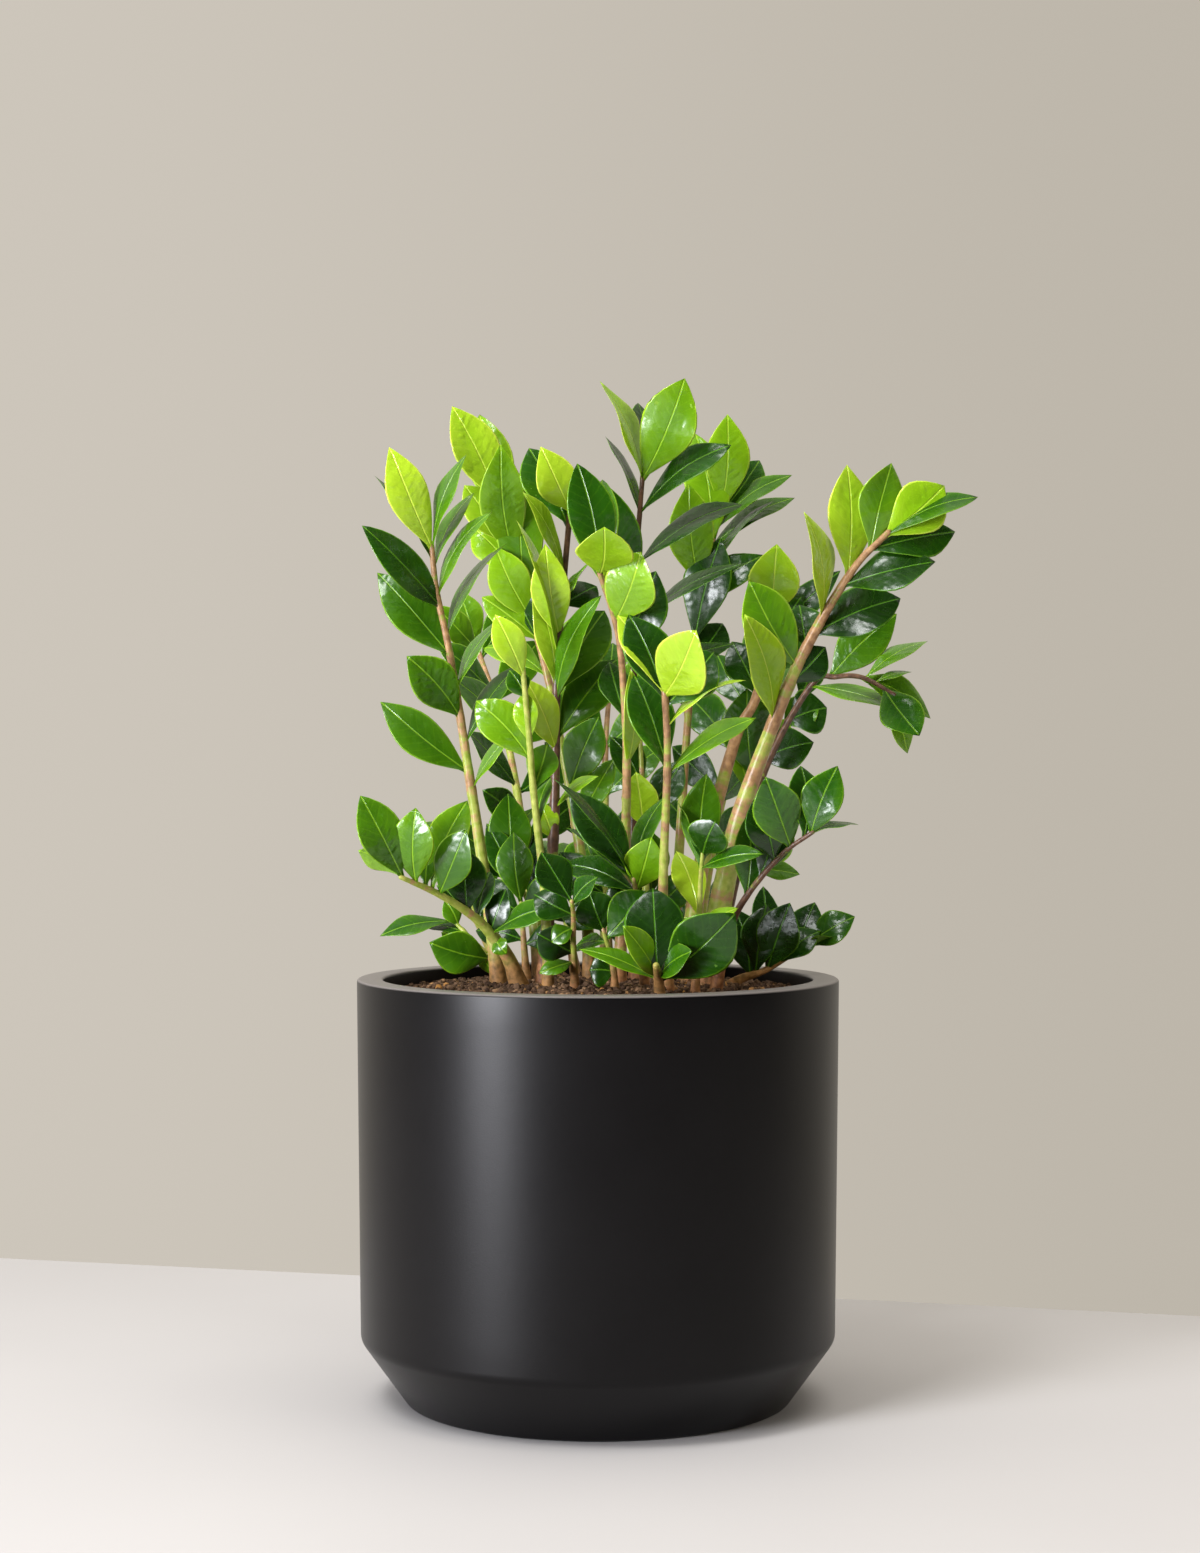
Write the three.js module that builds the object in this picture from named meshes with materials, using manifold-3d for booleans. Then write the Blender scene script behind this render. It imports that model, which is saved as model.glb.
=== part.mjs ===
// A potted ZZ plant: a round planter with a chamfered foot, a bed of potting soil, and the fronds
// that stand in it. Millimetres, +Z up, origin under the middle of the planter, -Y is the front.
import * as THREE from "three";
import { mergeVertices } from "three/addons/utils/BufferGeometryUtils.js";
import Module from "manifold-3d";

// ---------------------------------------------------------------- driving dimensions
// Planter
const POT_DIAMETER = 305; // outside, at the rim
const POT_HEIGHT = 266;
const POT_WALL = 16.5; // at the rim
const POT_TAPER = 2.5; // how much less the radius is at the bottom of the wall
const POT_FOOT_RADIUS = 121;
const POT_CHAMFER_HEIGHT = 40; // the cone between the foot and the wall
const POT_FLOOR = 14; // thickness of the bottom
const RIM_ROUND = 1.6; // radius of the rim's two edges
const POT_SIDES = 48;

// Soil
const SOIL_BELOW_RIM = 10; // at the planter's wall
const SOIL_CROWN = 7; // how much higher the middle is
const SOIL_RINGS = 3;
const FIT_GAP = 0.3; // left between pieces that touch

// Plant
const PLANT_HEIGHT = 391; // of the highest leaflet over the edge of the soil
const DRAWN_HEIGHT = 391; // the height that the frond tables below are drawn for
const BURIED_DEPTH = 30; // of each stalk's foot
const STALK_SIDES = 5;
const STALK_STEP = 45; // between two rings of a stalk
const LEAFLET_THICKNESS = 1.6; // at the midrib
const LAST_LEAFLET = 0.985; // the highest place on a stalk where a leaflet grows
const LEAFLET_SWING = 12; // degrees that every other leaflet of a drawn frond points nearer or farther
const LEAFLET_ARCH = 0.05; // bow of a leaflet, as a share of its length
const LEAFLET_ROWS = 4;
const LEAFLET_NECK = 0.08; // width at the stalk, as a share of the full width
const LEAFLET_FULLNESS = 1.12; // above 1 a leaflet is widest beyond its middle
const LEAFLET_BLUNTNESS = 0.85; // below 1 its two ends are blunter than a sine's

const MERGE_DISTANCE = 1e-3; // corners of a surface closer than this are one

// Values that follow from them
const POT_RADIUS = POT_DIAMETER / 2;
const SOIL_EDGE_Z = POT_HEIGHT - SOIL_BELOW_RIM;
const GROWTH = PLANT_HEIGHT / DRAWN_HEIGHT;

const wasm = await Module();
wasm.setup();

// ---------------------------------------------------------------- the fronds
// Each frond is one compound leaf. Its stalk runs through points [x, y, height over the soil's edge],
// from the soil to the tip. Its radii are those at the foot, halfway and at the tip. Each leaflet is
// [place along the stalk, lean, toward, turn, length, width]: lean is its direction in front view,
// in degrees from +X, toward is how far it points to the front, and turn is how far its face is
// turned about its length from looking to the front.
const DRAWN_FRONDS = [
  {
    name: "frond_left_tall",
    stalk: [
      [-63, 18, 0], [-72, 13, 70], [-82, 7, 138],
      [-93, -2, 210], [-102, -8, 255], [-105, -12, 285],
    ],
    radii: [4.8, 3, 1.6],
    leaflets: [
      [1.0, 110, 12, 20, 70, 27],
      [0.96, 126, 8, 65, 66, 26],
      [0.86, 130, 14, 35, 72, 30],
      [0.75, 130, 16, 12, 70, 31],
      [0.61, 130, 16, 5, 57, 30],
      [0.49, 140, 16, 15, 72, 29],
      [0.99, 72, 8, -60, 65, 25],
      [0.94, 65, 6, -64, 56, 24],
      [0.88, 62, 6, -62, 65, 26],
      [0.79, 63, 6, -64, 72, 26],
      [0.67, 61, 6, -64, 59, 24],
      [0.55, 60, 6, -64, 62, 24],
      [0.45, 53, 4, -70, 51, 20],
    ],
  },
  {
    name: "frond_back_left",
    stalk: [
      [-5, 55, 0], [-10, 61, 76], [-28, 73, 178],
      [-39, 80, 225], [-51, 86, 265], [-67, 95, 323],
    ],
    radii: [4.4, 2.7, 1.6],
    leaflets: [
      [1.0, 115, 6, 12, 74, 33],
      [0.95, 103, 10, 0, 76, 32],
      [0.86, 97, 16, -5, 84, 31],
      [0.79, 93, 20, -8, 81, 31],
      [0.9, 127, -8, 15, 51, 28],
      [0.83, 131, -6, 12, 52, 28],
      [0.74, 117, -4, 8, 55, 28],
      [0.7, 114, 10, -10, 41, 30],
      [0.7, 143, -12, 20, 47, 20],
      [0.62, 149, -14, 45, 57, 22],
      [0.39, 69, 10, -8, 55, 29],
      [0.32, 61, 6, -25, 51, 20],
    ],
  },
  {
    name: "frond_centre_left",
    stalk: [
      [-35, 0, 0], [-28, -6, 104], [-26, -14, 196],
      [-23, -19, 242], [-17, -26, 307], [-14, -28, 326],
    ],
    radii: [4.8, 2.7, 1.6],
    leaflets: [
      [0.47, 111, 20, 18, 55, 24],
      [0.59, 101, 22, 38, 66, 22],
      [0.69, 98, 14, 5, 61, 25],
      [0.65, 104, 30, 62, 91, 22],
      [0.8, 113, 18, 58, 65, 26],
      [0.9, 116, 6, 8, 57, 34],
      [0.93, 114, 20, 10, 46, 27],
      [0.49, 55, 0, -18, 67, 31],
      [0.57, 68, 12, -42, 75, 27],
      [0.58, 61, -4, -12, 65, 34],
      [0.76, 51, 10, -62, 30, 18],
      [0.75, 33, -6, -20, 28, 26],
      [0.36, 37, 14, -60, 38, 16],
      [0.3, 110, 28, 5, 25, 16],
    ],
  },
  {
    name: "frond_thin_left",
    stalk: [[-31, -22, 0], [-33, -29, 60], [-40, -43, 129], [-42, -50, 157], [-46, -62, 204]],
    radii: [3.5, 2.4, 1.6],
    leaflets: [
      [0.97, 112, 10, 16, 43, 20],
      [0.77, 95, 18, 0, 33, 16],
      [0.72, 132, -10, 12, 50, 27],
      [0.63, 75, -8, -10, 33, 20],
      [0.91, 120, -16, 10, 20, 16],
      [0.51, 80, -6, -40, 36, 16],
    ],
  },
  {
    name: "frond_centre",
    stalk: [
      [13, 8, 0], [17, -6, 85], [18, -22, 148],
      [16, -34, 191], [12, -45, 228], [0, -58, 266],
    ],
    radii: [4.4, 2.7, 1.6],
    leaflets: [
      [1.0, 84, 50, 0, 47, 36],
      [0.87, 69, 42, -6, 51, 35],
      [0.8, 67, -6, -12, 54, 34],
      [0.95, 80, -8, -10, 33, 22],
      [0.98, 102, -10, 5, 70, 30],
      [0.95, 91, -22, -5, 85, 28],
      [0.53, 86, 12, 35, 65, 20],
      [0.64, 104, -12, 20, 43, 22],
    ],
  },
  {
    name: "frond_tall",
    stalk: [[25, 38, 0], [23, 37, 83], [23, 34, 213], [25, 32, 278], [29, 30, 334]],
    radii: [4.6, 2.6, 1.5],
    leaflets: [
      [1.0, 67, 10, -6, 72, 37],
      [0.99, 91, -12, 45, 59, 28],
      [0.99, 112, 6, 62, 70, 28],
      [0.92, 113, -4, 64, 59, 26],
      [0.92, 39, 2, -58, 74, 29],
      [0.82, 37, 6, -62, 81, 28],
      [0.7, 33, 8, -72, 85, 24],
      [0.58, 25, 0, -62, 75, 24],
      [0.77, 107, 2, 15, 73, 30],
    ],
  },
  {
    name: "frond_back_right",
    stalk: [
      [51, 72, 0], [52, 77, 56], [60, 93, 175],
      [64, 101, 222], [69, 108, 263], [84, 118, 320],
    ],
    radii: [4.2, 2.6, 1.5],
    leaflets: [
      [1.0, 87, 4, -8, 67, 30],
      [0.92, 98, 12, 5, 76, 32],
      [0.82, 97, 16, 8, 74, 33],
      [0.99, 55, 2, -12, 48, 31],
      [0.95, 39, -2, -60, 63, 23],
      [0.91, 36, 0, -62, 70, 23],
      [0.85, 49, -6, -66, 69, 21],
      [0.7, 76, 18, -6, 74, 33],
      [0.77, 43, -4, -30, 59, 25],
      [0.66, 53, -10, -20, 38, 26],
      [0.56, 113, -8, 10, 55, 28],
    ],
  },
  {
    name: "frond_front_short",
    stalk: [[43, -45, 0], [40, -56, 62], [42, -84, 147], [40, -100, 189]],
    radii: [4, 2.7, 1.9],
    leaflets: [
      [1.0, 65, 38, -12, 62, 37],
      [1.0, 121, 10, 45, 56, 24],
      [0.96, 110, -6, 22, 57, 29],
      [0.74, 107, 4, 28, 63, 31],
      [0.88, 38, 5, -68, 56, 20],
      [0.73, 34, 10, -60, 64, 25],
      [0.95, 49, -14, -15, 44, 32],
    ],
  },
  {
    name: "frond_right_big",
    stalk: [
      [67, 5, 0], [82, -3, 78], [93, -10, 123],
      [125, -25, 207], [157, -38, 264], [180, -45, 289],
    ],
    radii: [9, 4.7, 1.8],
    leaflets: [
      [0.56, 108, 15, 42, 78, 30],
      [0.68, 120, 26, 10, 62, 36],
      [0.78, 98, 12, 50, 72, 30],
      [0.88, 89, 10, 18, 71, 32],
      [0.95, 75, -6, 10, 55, 30],
      [0.99, 40, 8, -8, 50, 34],
      [1.0, 26, -6, -58, 63, 25],
      [0.95, 12, 2, -38, 56, 30],
      [0.86, 16, 6, -32, 60, 36],
      [0.75, 23, 8, -28, 60, 38],
      [0.64, 47, -4, -10, 33, 24],
      [0.72, 96, -14, 10, 32, 26],
    ],
  },
  {
    name: "frond_right_arching",
    stalk: [
      [74, 42, 0], [89, 45, 70], [109, 50, 142], [139, 45, 197],
      [154, 35, 202], [170, 20, 201], [189, 0, 189],
    ],
    radii: [4.5, 2.6, 1.2],
    leaflets: [
      [0.8, 44, -6, -12, 59, 30],
      [0.9, 35, -2, -56, 51, 23],
      [0.74, -16, 12, -48, 65, 25],
      [0.87, -26, 14, -38, 56, 26],
      [0.96, -57, 22, 0, 45, 28],
      [0.99, -74, 0, -20, 41, 18],
      [0.93, 19, -20, -60, 26, 14],
    ],
  },
  {
    name: "frond_right_inner",
    stalk: [[59, 28, 0], [65, 34, 70], [89, 47, 160], [104, 53, 191], [116, 62, 246]],
    radii: [7, 4.4, 2],
    leaflets: [
      [1.0, 89, 14, -5, 50, 34],
      [0.9, 100, 10, 30, 47, 24],
      [0.84, 63, -10, -15, 55, 28],
      [0.78, 115, -10, 15, 41, 26],
      [0.93, 46, -12, -25, 65, 22],
    ],
  },
  {
    name: "frond_right_back",
    stalk: [[72, 60, 0], [80, 63, 56], [102, 70, 137], [136, 76, 190]],
    radii: [4, 2.5, 1.4],
    leaflets: [
      [0.69, 94, -6, 6, 59, 36],
      [0.77, 56, 14, -10, 29, 20],
      [0.75, 21, 0, -20, 37, 30],
      [0.89, 32, 8, -12, 27, 24],
      [0.9, 20, -10, -10, 29, 32],
      [0.99, 62, -2, -20, 29, 18],
      [0.64, 106, -14, 25, 34, 16],
    ],
  },
  {
    name: "frond_right_low",
    stalk: [[73, -22, 0], [82, -34, 42], [93, -46, 65], [113, -62, 90], [131, -75, 104]],
    radii: [3.6, 2, 1.2],
    leaflets: [
      [1.0, 71, 0, -18, 44, 26],
      [0.94, 90, 5, 18, 45, 25],
      [0.86, 111, 12, 10, 50, 30],
      [0.99, 16, 0, -76, 31, 15],
      [0.75, 109, 2, 8, 42, 27],
      [0.52, 87, 14, 10, 52, 23],
      [0.63, 71, -12, -10, 45, 26],
    ],
  },
  {
    name: "frond_right_lowest",
    stalk: [[80, 22, 0], [91, 23, 7], [106, 25, 12], [119, 27, 19], [136, 30, 29]],
    radii: [3, 2, 1.2],
    leaflets: [
      [1.0, 35, 6, -22, 36, 24],
      [0.84, 69, 2, -15, 36, 23],
      [0.51, 73, 8, -10, 48, 30],
      [0.62, 38, 16, -30, 35, 22],
      [0.38, 82, -10, -10, 45, 26],
      [0.32, 102, 6, 10, 44, 28],
      [0.92, 16, 10, -120, 26, 16],
      [0.53, 93, -14, 10, 57, 20],
    ],
  },
  {
    name: "frond_left_low",
    stalk: [
      [-48, -5, 0], [-57, -12, 24], [-69, -22, 41],
      [-80, -31, 52], [-99, -45, 65], [-121, -62, 76],
    ],
    radii: [5.5, 2.8, 1.4],
    leaflets: [
      [0.99, 114, 5, 20, 57, 30],
      [1.0, 145, 16, 140, 32, 18],
      [0.9, 89, 12, 0, 49, 27],
      [0.84, 82, -8, -8, 44, 25],
      [0.75, 67, 18, -12, 50, 26],
      [0.56, 92, 5, 0, 40, 28],
      [0.8, 70, -14, -12, 60, 25],
      [0.49, 75, -5, -50, 32, 19],
      [0.38, 72, 2, -20, 30, 18],
      [0.37, 28, 44, -52, 56, 19],
      [0.34, -50, 20, 0, 14, 12],
    ],
  },
  {
    name: "frond_left_lowest",
    stalk: [[-58, 38, 0], [-70, 42, 19], [-82, 46, 31], [-93, 50, 42], [-97, 52, 48]],
    radii: [2.4, 1.6, 1.1],
    leaflets: [
      [0.9, 185, 5, 62, 50, 18],
      [0.73, 170, 0, 50, 30, 14],
      [0.36, 164, 8, 0, 42, 29],
      [0.62, 167, -8, 20, 23, 16],
      [0.85, 117, -5, 20, 18, 14],
      [0.58, -58, 12, 30, 25, 13],
    ],
  },
  {
    name: "frond_left_middle",
    stalk: [[-33, 46, 0], [-36, 51, 34], [-45, 55, 55], [-56, 59, 71], [-66, 62, 80]],
    radii: [3.2, 2, 1.3],
    leaflets: [
      [1.0, 141, 0, 42, 48, 22],
      [0.98, 60, 10, -60, 45, 19],
      [0.87, 92, -6, 0, 54, 29],
      [0.78, 74, 6, -35, 36, 21],
      [0.65, 71, 6, -48, 39, 19],
      [0.82, 147, 6, 30, 42, 22],
      [0.71, 117, -8, 20, 52, 20],
    ],
  },
  {
    name: "frond_centre_low",
    stalk: [[30, -15, 0], [26, -29, 42], [24, -41, 64], [22, -48, 75]],
    radii: [3, 2, 1.5],
    leaflets: [
      [1.0, 124, 4, 68, 82, 18],
      [0.98, 136, 10, 58, 53, 20],
      [0.94, 123, -12, 20, 71, 29],
      [0.86, 158, -8, 42, 57, 22],
      [0.88, 75, 18, 0, 40, 26],
      [0.97, 73, -4, -52, 60, 21],
      [0.79, 188, 8, 25, 23, 22],
    ],
  },
  {
    name: "frond_front_right",
    stalk: [[38, -66, 0], [37, -73, 14], [35, -92, 24]],
    radii: [3.2, 2.6, 2],
    leaflets: [
      [0.4, 43, 10, -6, 65, 39],
      [0.69, 93, 0, 0, 52, 37],
      [0.45, 124, 15, 30, 45, 22],
      [0.4, 153, 10, 52, 52, 17],
      [0.5, 39, 30, -45, 36, 22],
    ],
  },
  {
    name: "frond_front_left",
    stalk: [[11, -42, 0], [9, -47, 23], [5, -52, 37], [3, -54, 44]],
    radii: [2.4, 1.8, 1.2],
    leaflets: [
      [0.85, 50, -5, -12, 39, 28],
      [0.8, 189, -25, 50, 26, 17],
      [0.95, 110, -4, 5, 27, 27],
      [0.37, 176, 14, 10, 15, 22],
    ],
  },
  {
    name: "frond_left_inner",
    stalk: [[-14, -40, 0], [-15, -52, 30], [-15, -68, 53], [-16, -77, 62]],
    radii: [2.8, 1.8, 1.2],
    leaflets: [
      [0.95, 49, 4, -40, 24, 18],
      [0.98, 122, 4, 20, 36, 26],
      [0.42, 150, 12, 10, 28, 24],
      [0.68, 210, 22, 30, 16, 14],
      [0.34, 196, 12, 40, 24, 13],
      [0.82, 152, 2, 15, 28, 24],
    ],
  },
  {
    name: "frond_right_front",
    stalk: [[60, -45, 0], [62, -52, 43], [63, -60, 74], [64, -66, 91]],
    radii: [2.6, 1.8, 1.2],
    leaflets: [
      [1.0, 71, 22, -8, 27, 27],
      [0.98, 117, 4, 68, 37, 16],
      [0.88, 87, -14, -8, 59, 25],
      [0.94, 89, -6, 20, 34, 22],
      [0.89, 22, 25, -60, 45, 17],
      [0.54, 107, -6, 12, 47, 22],
      [0.34, 113, 12, 0, 24, 18],
      [0.49, 25, 20, -55, 27, 15],
    ],
  },
  {
    name: "frond_low_left",
    stalk: [[-46, 46, 0], [-48, 44, 26], [-50, 40, 56]],
    radii: [2.8, 2, 1.3],
    leaflets: [
      [1.0, 96, -4, 0, 46, 25],
      [0.86, 146, -8, 12, 38, 23],
      [0.8, 44, 14, -12, 44, 24],
      [0.55, 168, -2, 20, 34, 20],
      [0.5, 16, 8, -20, 32, 20],
    ],
  },
  {
    name: "frond_low_centre",
    stalk: [[9, 48, 0], [7, 47, 34], [4, 46, 70]],
    radii: [2.8, 2, 1.3],
    leaflets: [
      [1.0, 88, -4, 0, 46, 25],
      [0.86, 138, -8, 12, 44, 24],
      [0.8, 38, -14, -12, 34, 22],
      [0.55, 162, -2, 20, 34, 20],
      [0.5, 22, -10, -20, 24, 16],
    ],
  },
  {
    name: "frond_low_right",
    stalk: [[36, 62, 0], [36, 61, 30], [35, 60, 60]],
    radii: [2.8, 2, 1.3],
    leaflets: [
      [1.0, 92, -4, 0, 44, 25],
      [0.86, 142, -8, 12, 42, 24],
      [0.8, 46, -6, -12, 36, 23],
      [0.55, 166, -2, 20, 34, 20],
      [0.5, 16, 8, -20, 32, 20],
    ],
  },
  {
    name: "frond_middle",
    stalk: [[33, 20, 0], [31, 20, 58], [28, 19, 142], [27, 18, 164]],
    radii: [3.4, 2.2, 1.4],
    leaflets: [
      [0.64, 98, 10, -5, 39, 24],
      [0.98, 97, -6, 20, 30, 20],
      [0.68, 56, -8, -15, 44, 24],
      [0.78, 118, 10, 20, 41, 22],
    ],
  },
];

// The fronds at the rear lean away from the front, and carry even pairs of leaflets and one at the tip.
const PAIRED_FRONDS = [
  {
    name: "frond_rear_left",
    stalk: [[-38, 72, 0], [-48, 92, 84], [-62, 118, 164], [-84, 142, 229]],
    radii: [4.4, 2.8, 1.6],
    pairs: 5,
    firstPair: 0.42,
    length: 58,
    width: 28,
  },
  {
    name: "frond_rear_centre",
    stalk: [[5, 88, 0], [5, 112, 84], [5, 142, 154], [8, 168, 199]],
    radii: [4.4, 2.8, 1.6],
    pairs: 4,
    firstPair: 0.45,
    length: 54,
    width: 27,
  },
  {
    name: "frond_rear_right",
    stalk: [[62, 84, 0], [76, 108, 84], [96, 136, 164], [122, 162, 214]],
    radii: [4.4, 2.8, 1.6],
    pairs: 5,
    firstPair: 0.42,
    length: 56,
    width: 27,
  },
  {
    name: "frond_rear_left_low",
    stalk: [[-62, 66, 0], [-82, 92, 44], [-104, 120, 76], [-122, 142, 89]],
    radii: [3.5, 2.4, 1.4],
    pairs: 4,
    firstPair: 0.4,
    length: 46,
    width: 23,
  },
  {
    name: "frond_rear_centre_low",
    stalk: [[-14, 96, 0], [-22, 124, 44], [-28, 150, 70], [-32, 172, 79]],
    radii: [3.5, 2.4, 1.4],
    pairs: 4,
    firstPair: 0.4,
    length: 44,
    width: 22,
  },
  {
    name: "frond_rear_right_low",
    stalk: [[43, 86, 0], [64, 122, 41], [88, 146, 66], [110, 160, 76]],
    radii: [3.5, 2.4, 1.4],
    pairs: 4,
    firstPair: 0.4,
    length: 44,
    width: 22,
  },
];
const PAIR_SPREAD = 58; // degrees between the stalk and the lowest pair
const PAIR_CLOSING = 12; // degrees less at the highest pair
const PAIR_LIFT = 22; // degrees that a leaflet rises from its frond's plane
const PAIR_STAGGER = 0.02; // how much lower one leaflet of a pair sits, as a share of the stalk
const LAST_PAIR = 0.97; // place of the highest pair along the stalk
const SMALLEST_LEAFLET = 0.8; // at both ends of the row, as a share of the frond's leaflets
const LARGEST_LEAFLET = 1.08;

// ---------------------------------------------------------------- solids
// A closed three.js geometry as a manifold-3d solid.
function solidOf(geometry) {
  const bare = new THREE.BufferGeometry();
  bare.setAttribute("position", geometry.getAttribute("position"));
  bare.setIndex(geometry.getIndex());
  const merged = mergeVertices(bare, MERGE_DISTANCE);
  const mesh = new wasm.Mesh({
    numProp: 3,
    vertProperties: new Float32Array(merged.getAttribute("position").array),
    triVerts: new Uint32Array(merged.getIndex().array),
  });
  return new wasm.Manifold(mesh);
}

// A manifold-3d solid as a three.js geometry.
function geometryOf(solid) {
  const mesh = solid.getMesh();
  const geometry = new THREE.BufferGeometry();
  geometry.setAttribute("position", new THREE.BufferAttribute(new Float32Array(mesh.vertProperties), 3));
  geometry.setIndex(new THREE.BufferAttribute(new Uint32Array(mesh.triVerts), 1));
  return geometry;
}

// Moves every vertex of a geometry that stands along Y: place(share along it, x, z) gives its new point.
function reshape(geometry, place) {
  const position = geometry.getAttribute("position");
  for (let i = 0; i < position.count; i += 1) {
    const share = position.getY(i) + 0.5;
    const point = place(share, position.getX(i), position.getZ(i));
    position.setXYZ(i, point.x, point.y, point.z);
  }
  return geometry;
}

// ---------------------------------------------------------------- planter and soil
// Inside radius of the planter at a height above the chamfer.
function innerRadius(z) {
  const down = (POT_HEIGHT - z) / (POT_HEIGHT - POT_CHAMFER_HEIGHT);
  return POT_RADIUS - POT_WALL - POT_TAPER * down;
}

// The planter: a thick-walled round body that stands on a narrower foot.
function potGeometry() {
  const wallFoot = POT_RADIUS - POT_TAPER;
  const insideRim = POT_RADIUS - POT_WALL;
  const insideFloor = POT_FOOT_RADIUS - POT_WALL / 2;
  const outline = new THREE.Path();
  outline.moveTo(0, 0);
  outline.lineTo(POT_FOOT_RADIUS, 0);
  outline.lineTo(wallFoot, POT_CHAMFER_HEIGHT);
  outline.lineTo(POT_RADIUS, POT_HEIGHT - RIM_ROUND);
  outline.absarc(POT_RADIUS - RIM_ROUND, POT_HEIGHT - RIM_ROUND, RIM_ROUND, 0, Math.PI / 2, false);
  outline.lineTo(insideRim + RIM_ROUND, POT_HEIGHT);
  outline.absarc(insideRim + RIM_ROUND, POT_HEIGHT - RIM_ROUND, RIM_ROUND, Math.PI / 2, Math.PI, false);
  outline.lineTo(innerRadius(POT_CHAMFER_HEIGHT), POT_CHAMFER_HEIGHT);
  outline.lineTo(insideFloor, POT_FLOOR);
  outline.lineTo(0, POT_FLOOR);
  return lathe(outline.getPoints(2));
}

// Turns a profile [radius, height] about +Z.
function lathe(profile) {
  const geometry = new THREE.LatheGeometry(profile, POT_SIDES);
  geometry.rotateX(Math.PI / 2);
  return geometry;
}

// The soil: it fills the planter, is a little higher in the middle, and holds each stalk's foot.
function soilGeometry(fronds) {
  const edge = innerRadius(SOIL_EDGE_Z) - FIT_GAP;
  const profile = [
    new THREE.Vector2(0, POT_FLOOR + FIT_GAP),
    new THREE.Vector2(POT_FOOT_RADIUS - POT_WALL / 2 - FIT_GAP, POT_FLOOR + FIT_GAP),
    new THREE.Vector2(innerRadius(POT_CHAMFER_HEIGHT) - FIT_GAP, POT_CHAMFER_HEIGHT + FIT_GAP),
  ];
  for (let ring = 0; ring <= SOIL_RINGS; ring += 1) {
    const share = 1 - ring / SOIL_RINGS;
    profile.push(new THREE.Vector2(edge * share, SOIL_EDGE_Z + SOIL_CROWN * (1 - share * share)));
  }
  const sockets = fronds.map((frond) => solidOf(stalkGeometry(frond, FIT_GAP)));
  const soil = solidOf(lathe(profile)).subtract(wasm.Manifold.union(sockets));
  return geometryOf(soil);
}

// ---------------------------------------------------------------- fronds
// A point of the tables, at the plant's size and standing on the soil.
function standing([x, y, height]) {
  return new THREE.Vector3(x * GROWTH, y * GROWTH, SOIL_EDGE_Z + height * GROWTH);
}

// The line that a frond's stalk follows above the soil.
function stalkLine(frond) {
  return new THREE.CatmullRomCurve3(frond.stalk.map(standing), false, "catmullrom");
}

// How many straight lengths a stalk has above the soil.
function stalkSteps(line) {
  return Math.ceil(line.getLength() / (STALK_STEP * GROWTH));
}

// The middle of a stalk's straight lengths, at a share of its line.
function stalkMiddle(line, share) {
  const steps = stalkSteps(line);
  const step = Math.min(Math.floor(share * steps), steps - 1);
  const below = line.getPointAt(step / steps);
  return below.lerp(line.getPointAt((step + 1) / steps), share * steps - step);
}

// A frond's radius at a share of its stalk.
function stalkRadius(frond, share) {
  const [foot, middle, tip] = frond.radii;
  const radius = share < 0.5
    ? THREE.MathUtils.lerp(foot, middle, share * 2)
    : THREE.MathUtils.lerp(middle, tip, share * 2 - 1);
  return radius * GROWTH;
}

// The stalk: a tapering rod along its line, with a straight foot in the soil. A margin makes it
// thicker and its foot deeper by that much, as the soil's socket for it is.
function stalkGeometry(frond, margin = 0) {
  const line = stalkLine(frond);
  const steps = stalkSteps(line);
  const frames = line.computeFrenetFrames(steps, false);
  const thicker = margin / Math.cos(Math.PI / STALK_SIDES);
  const rod = new THREE.CylinderGeometry(1, 1, 1, STALK_SIDES, steps + 1);
  return reshape(rod, (share, x, z) => {
    const ring = Math.round(share * (steps + 1)) - 1;
    const step = Math.max(ring, 0);
    const radius = stalkRadius(frond, step / steps) + thicker;
    const point = line.getPointAt(step / steps);
    point.addScaledVector(frames.normals[step], x * radius);
    point.addScaledVector(frames.binormals[step], -z * radius);
    if (ring < 0) {
      point.z -= BURIED_DEPTH * GROWTH + margin;
    }
    return point;
  });
}

// Share of its full width that a leaflet has at a share of its length.
function leafletOutline(share) {
  return Math.max(LEAFLET_NECK, Math.sin(Math.PI * share ** LEAFLET_FULLNESS) ** LEAFLET_BLUNTNESS);
}

// A leaflet: a thin blade, thickest at its midrib, bowed a little towards its face.
function leafletGeometry({ base, along, face, length, width }) {
  const across = new THREE.Vector3().crossVectors(along, face);
  const blade = new THREE.ConeGeometry(1, 1, 4, LEAFLET_ROWS);
  return reshape(blade, (share, x, z) => {
    const size = Math.hypot(x, z) || 1;
    const half = share < 1 ? leafletOutline(share) / 2 : 0;
    const bow = Math.sin(Math.PI * share) * LEAFLET_ARCH * length;
    const thick = Math.min(LEAFLET_THICKNESS * GROWTH, width * half * 2) / 2;
    const point = base.clone();
    point.addScaledVector(along, share * length);
    point.addScaledVector(across, (x / size) * half * width);
    point.addScaledVector(face, bow + (z / size) * (share < 1 ? thick : 0));
    return point;
  });
}

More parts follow.
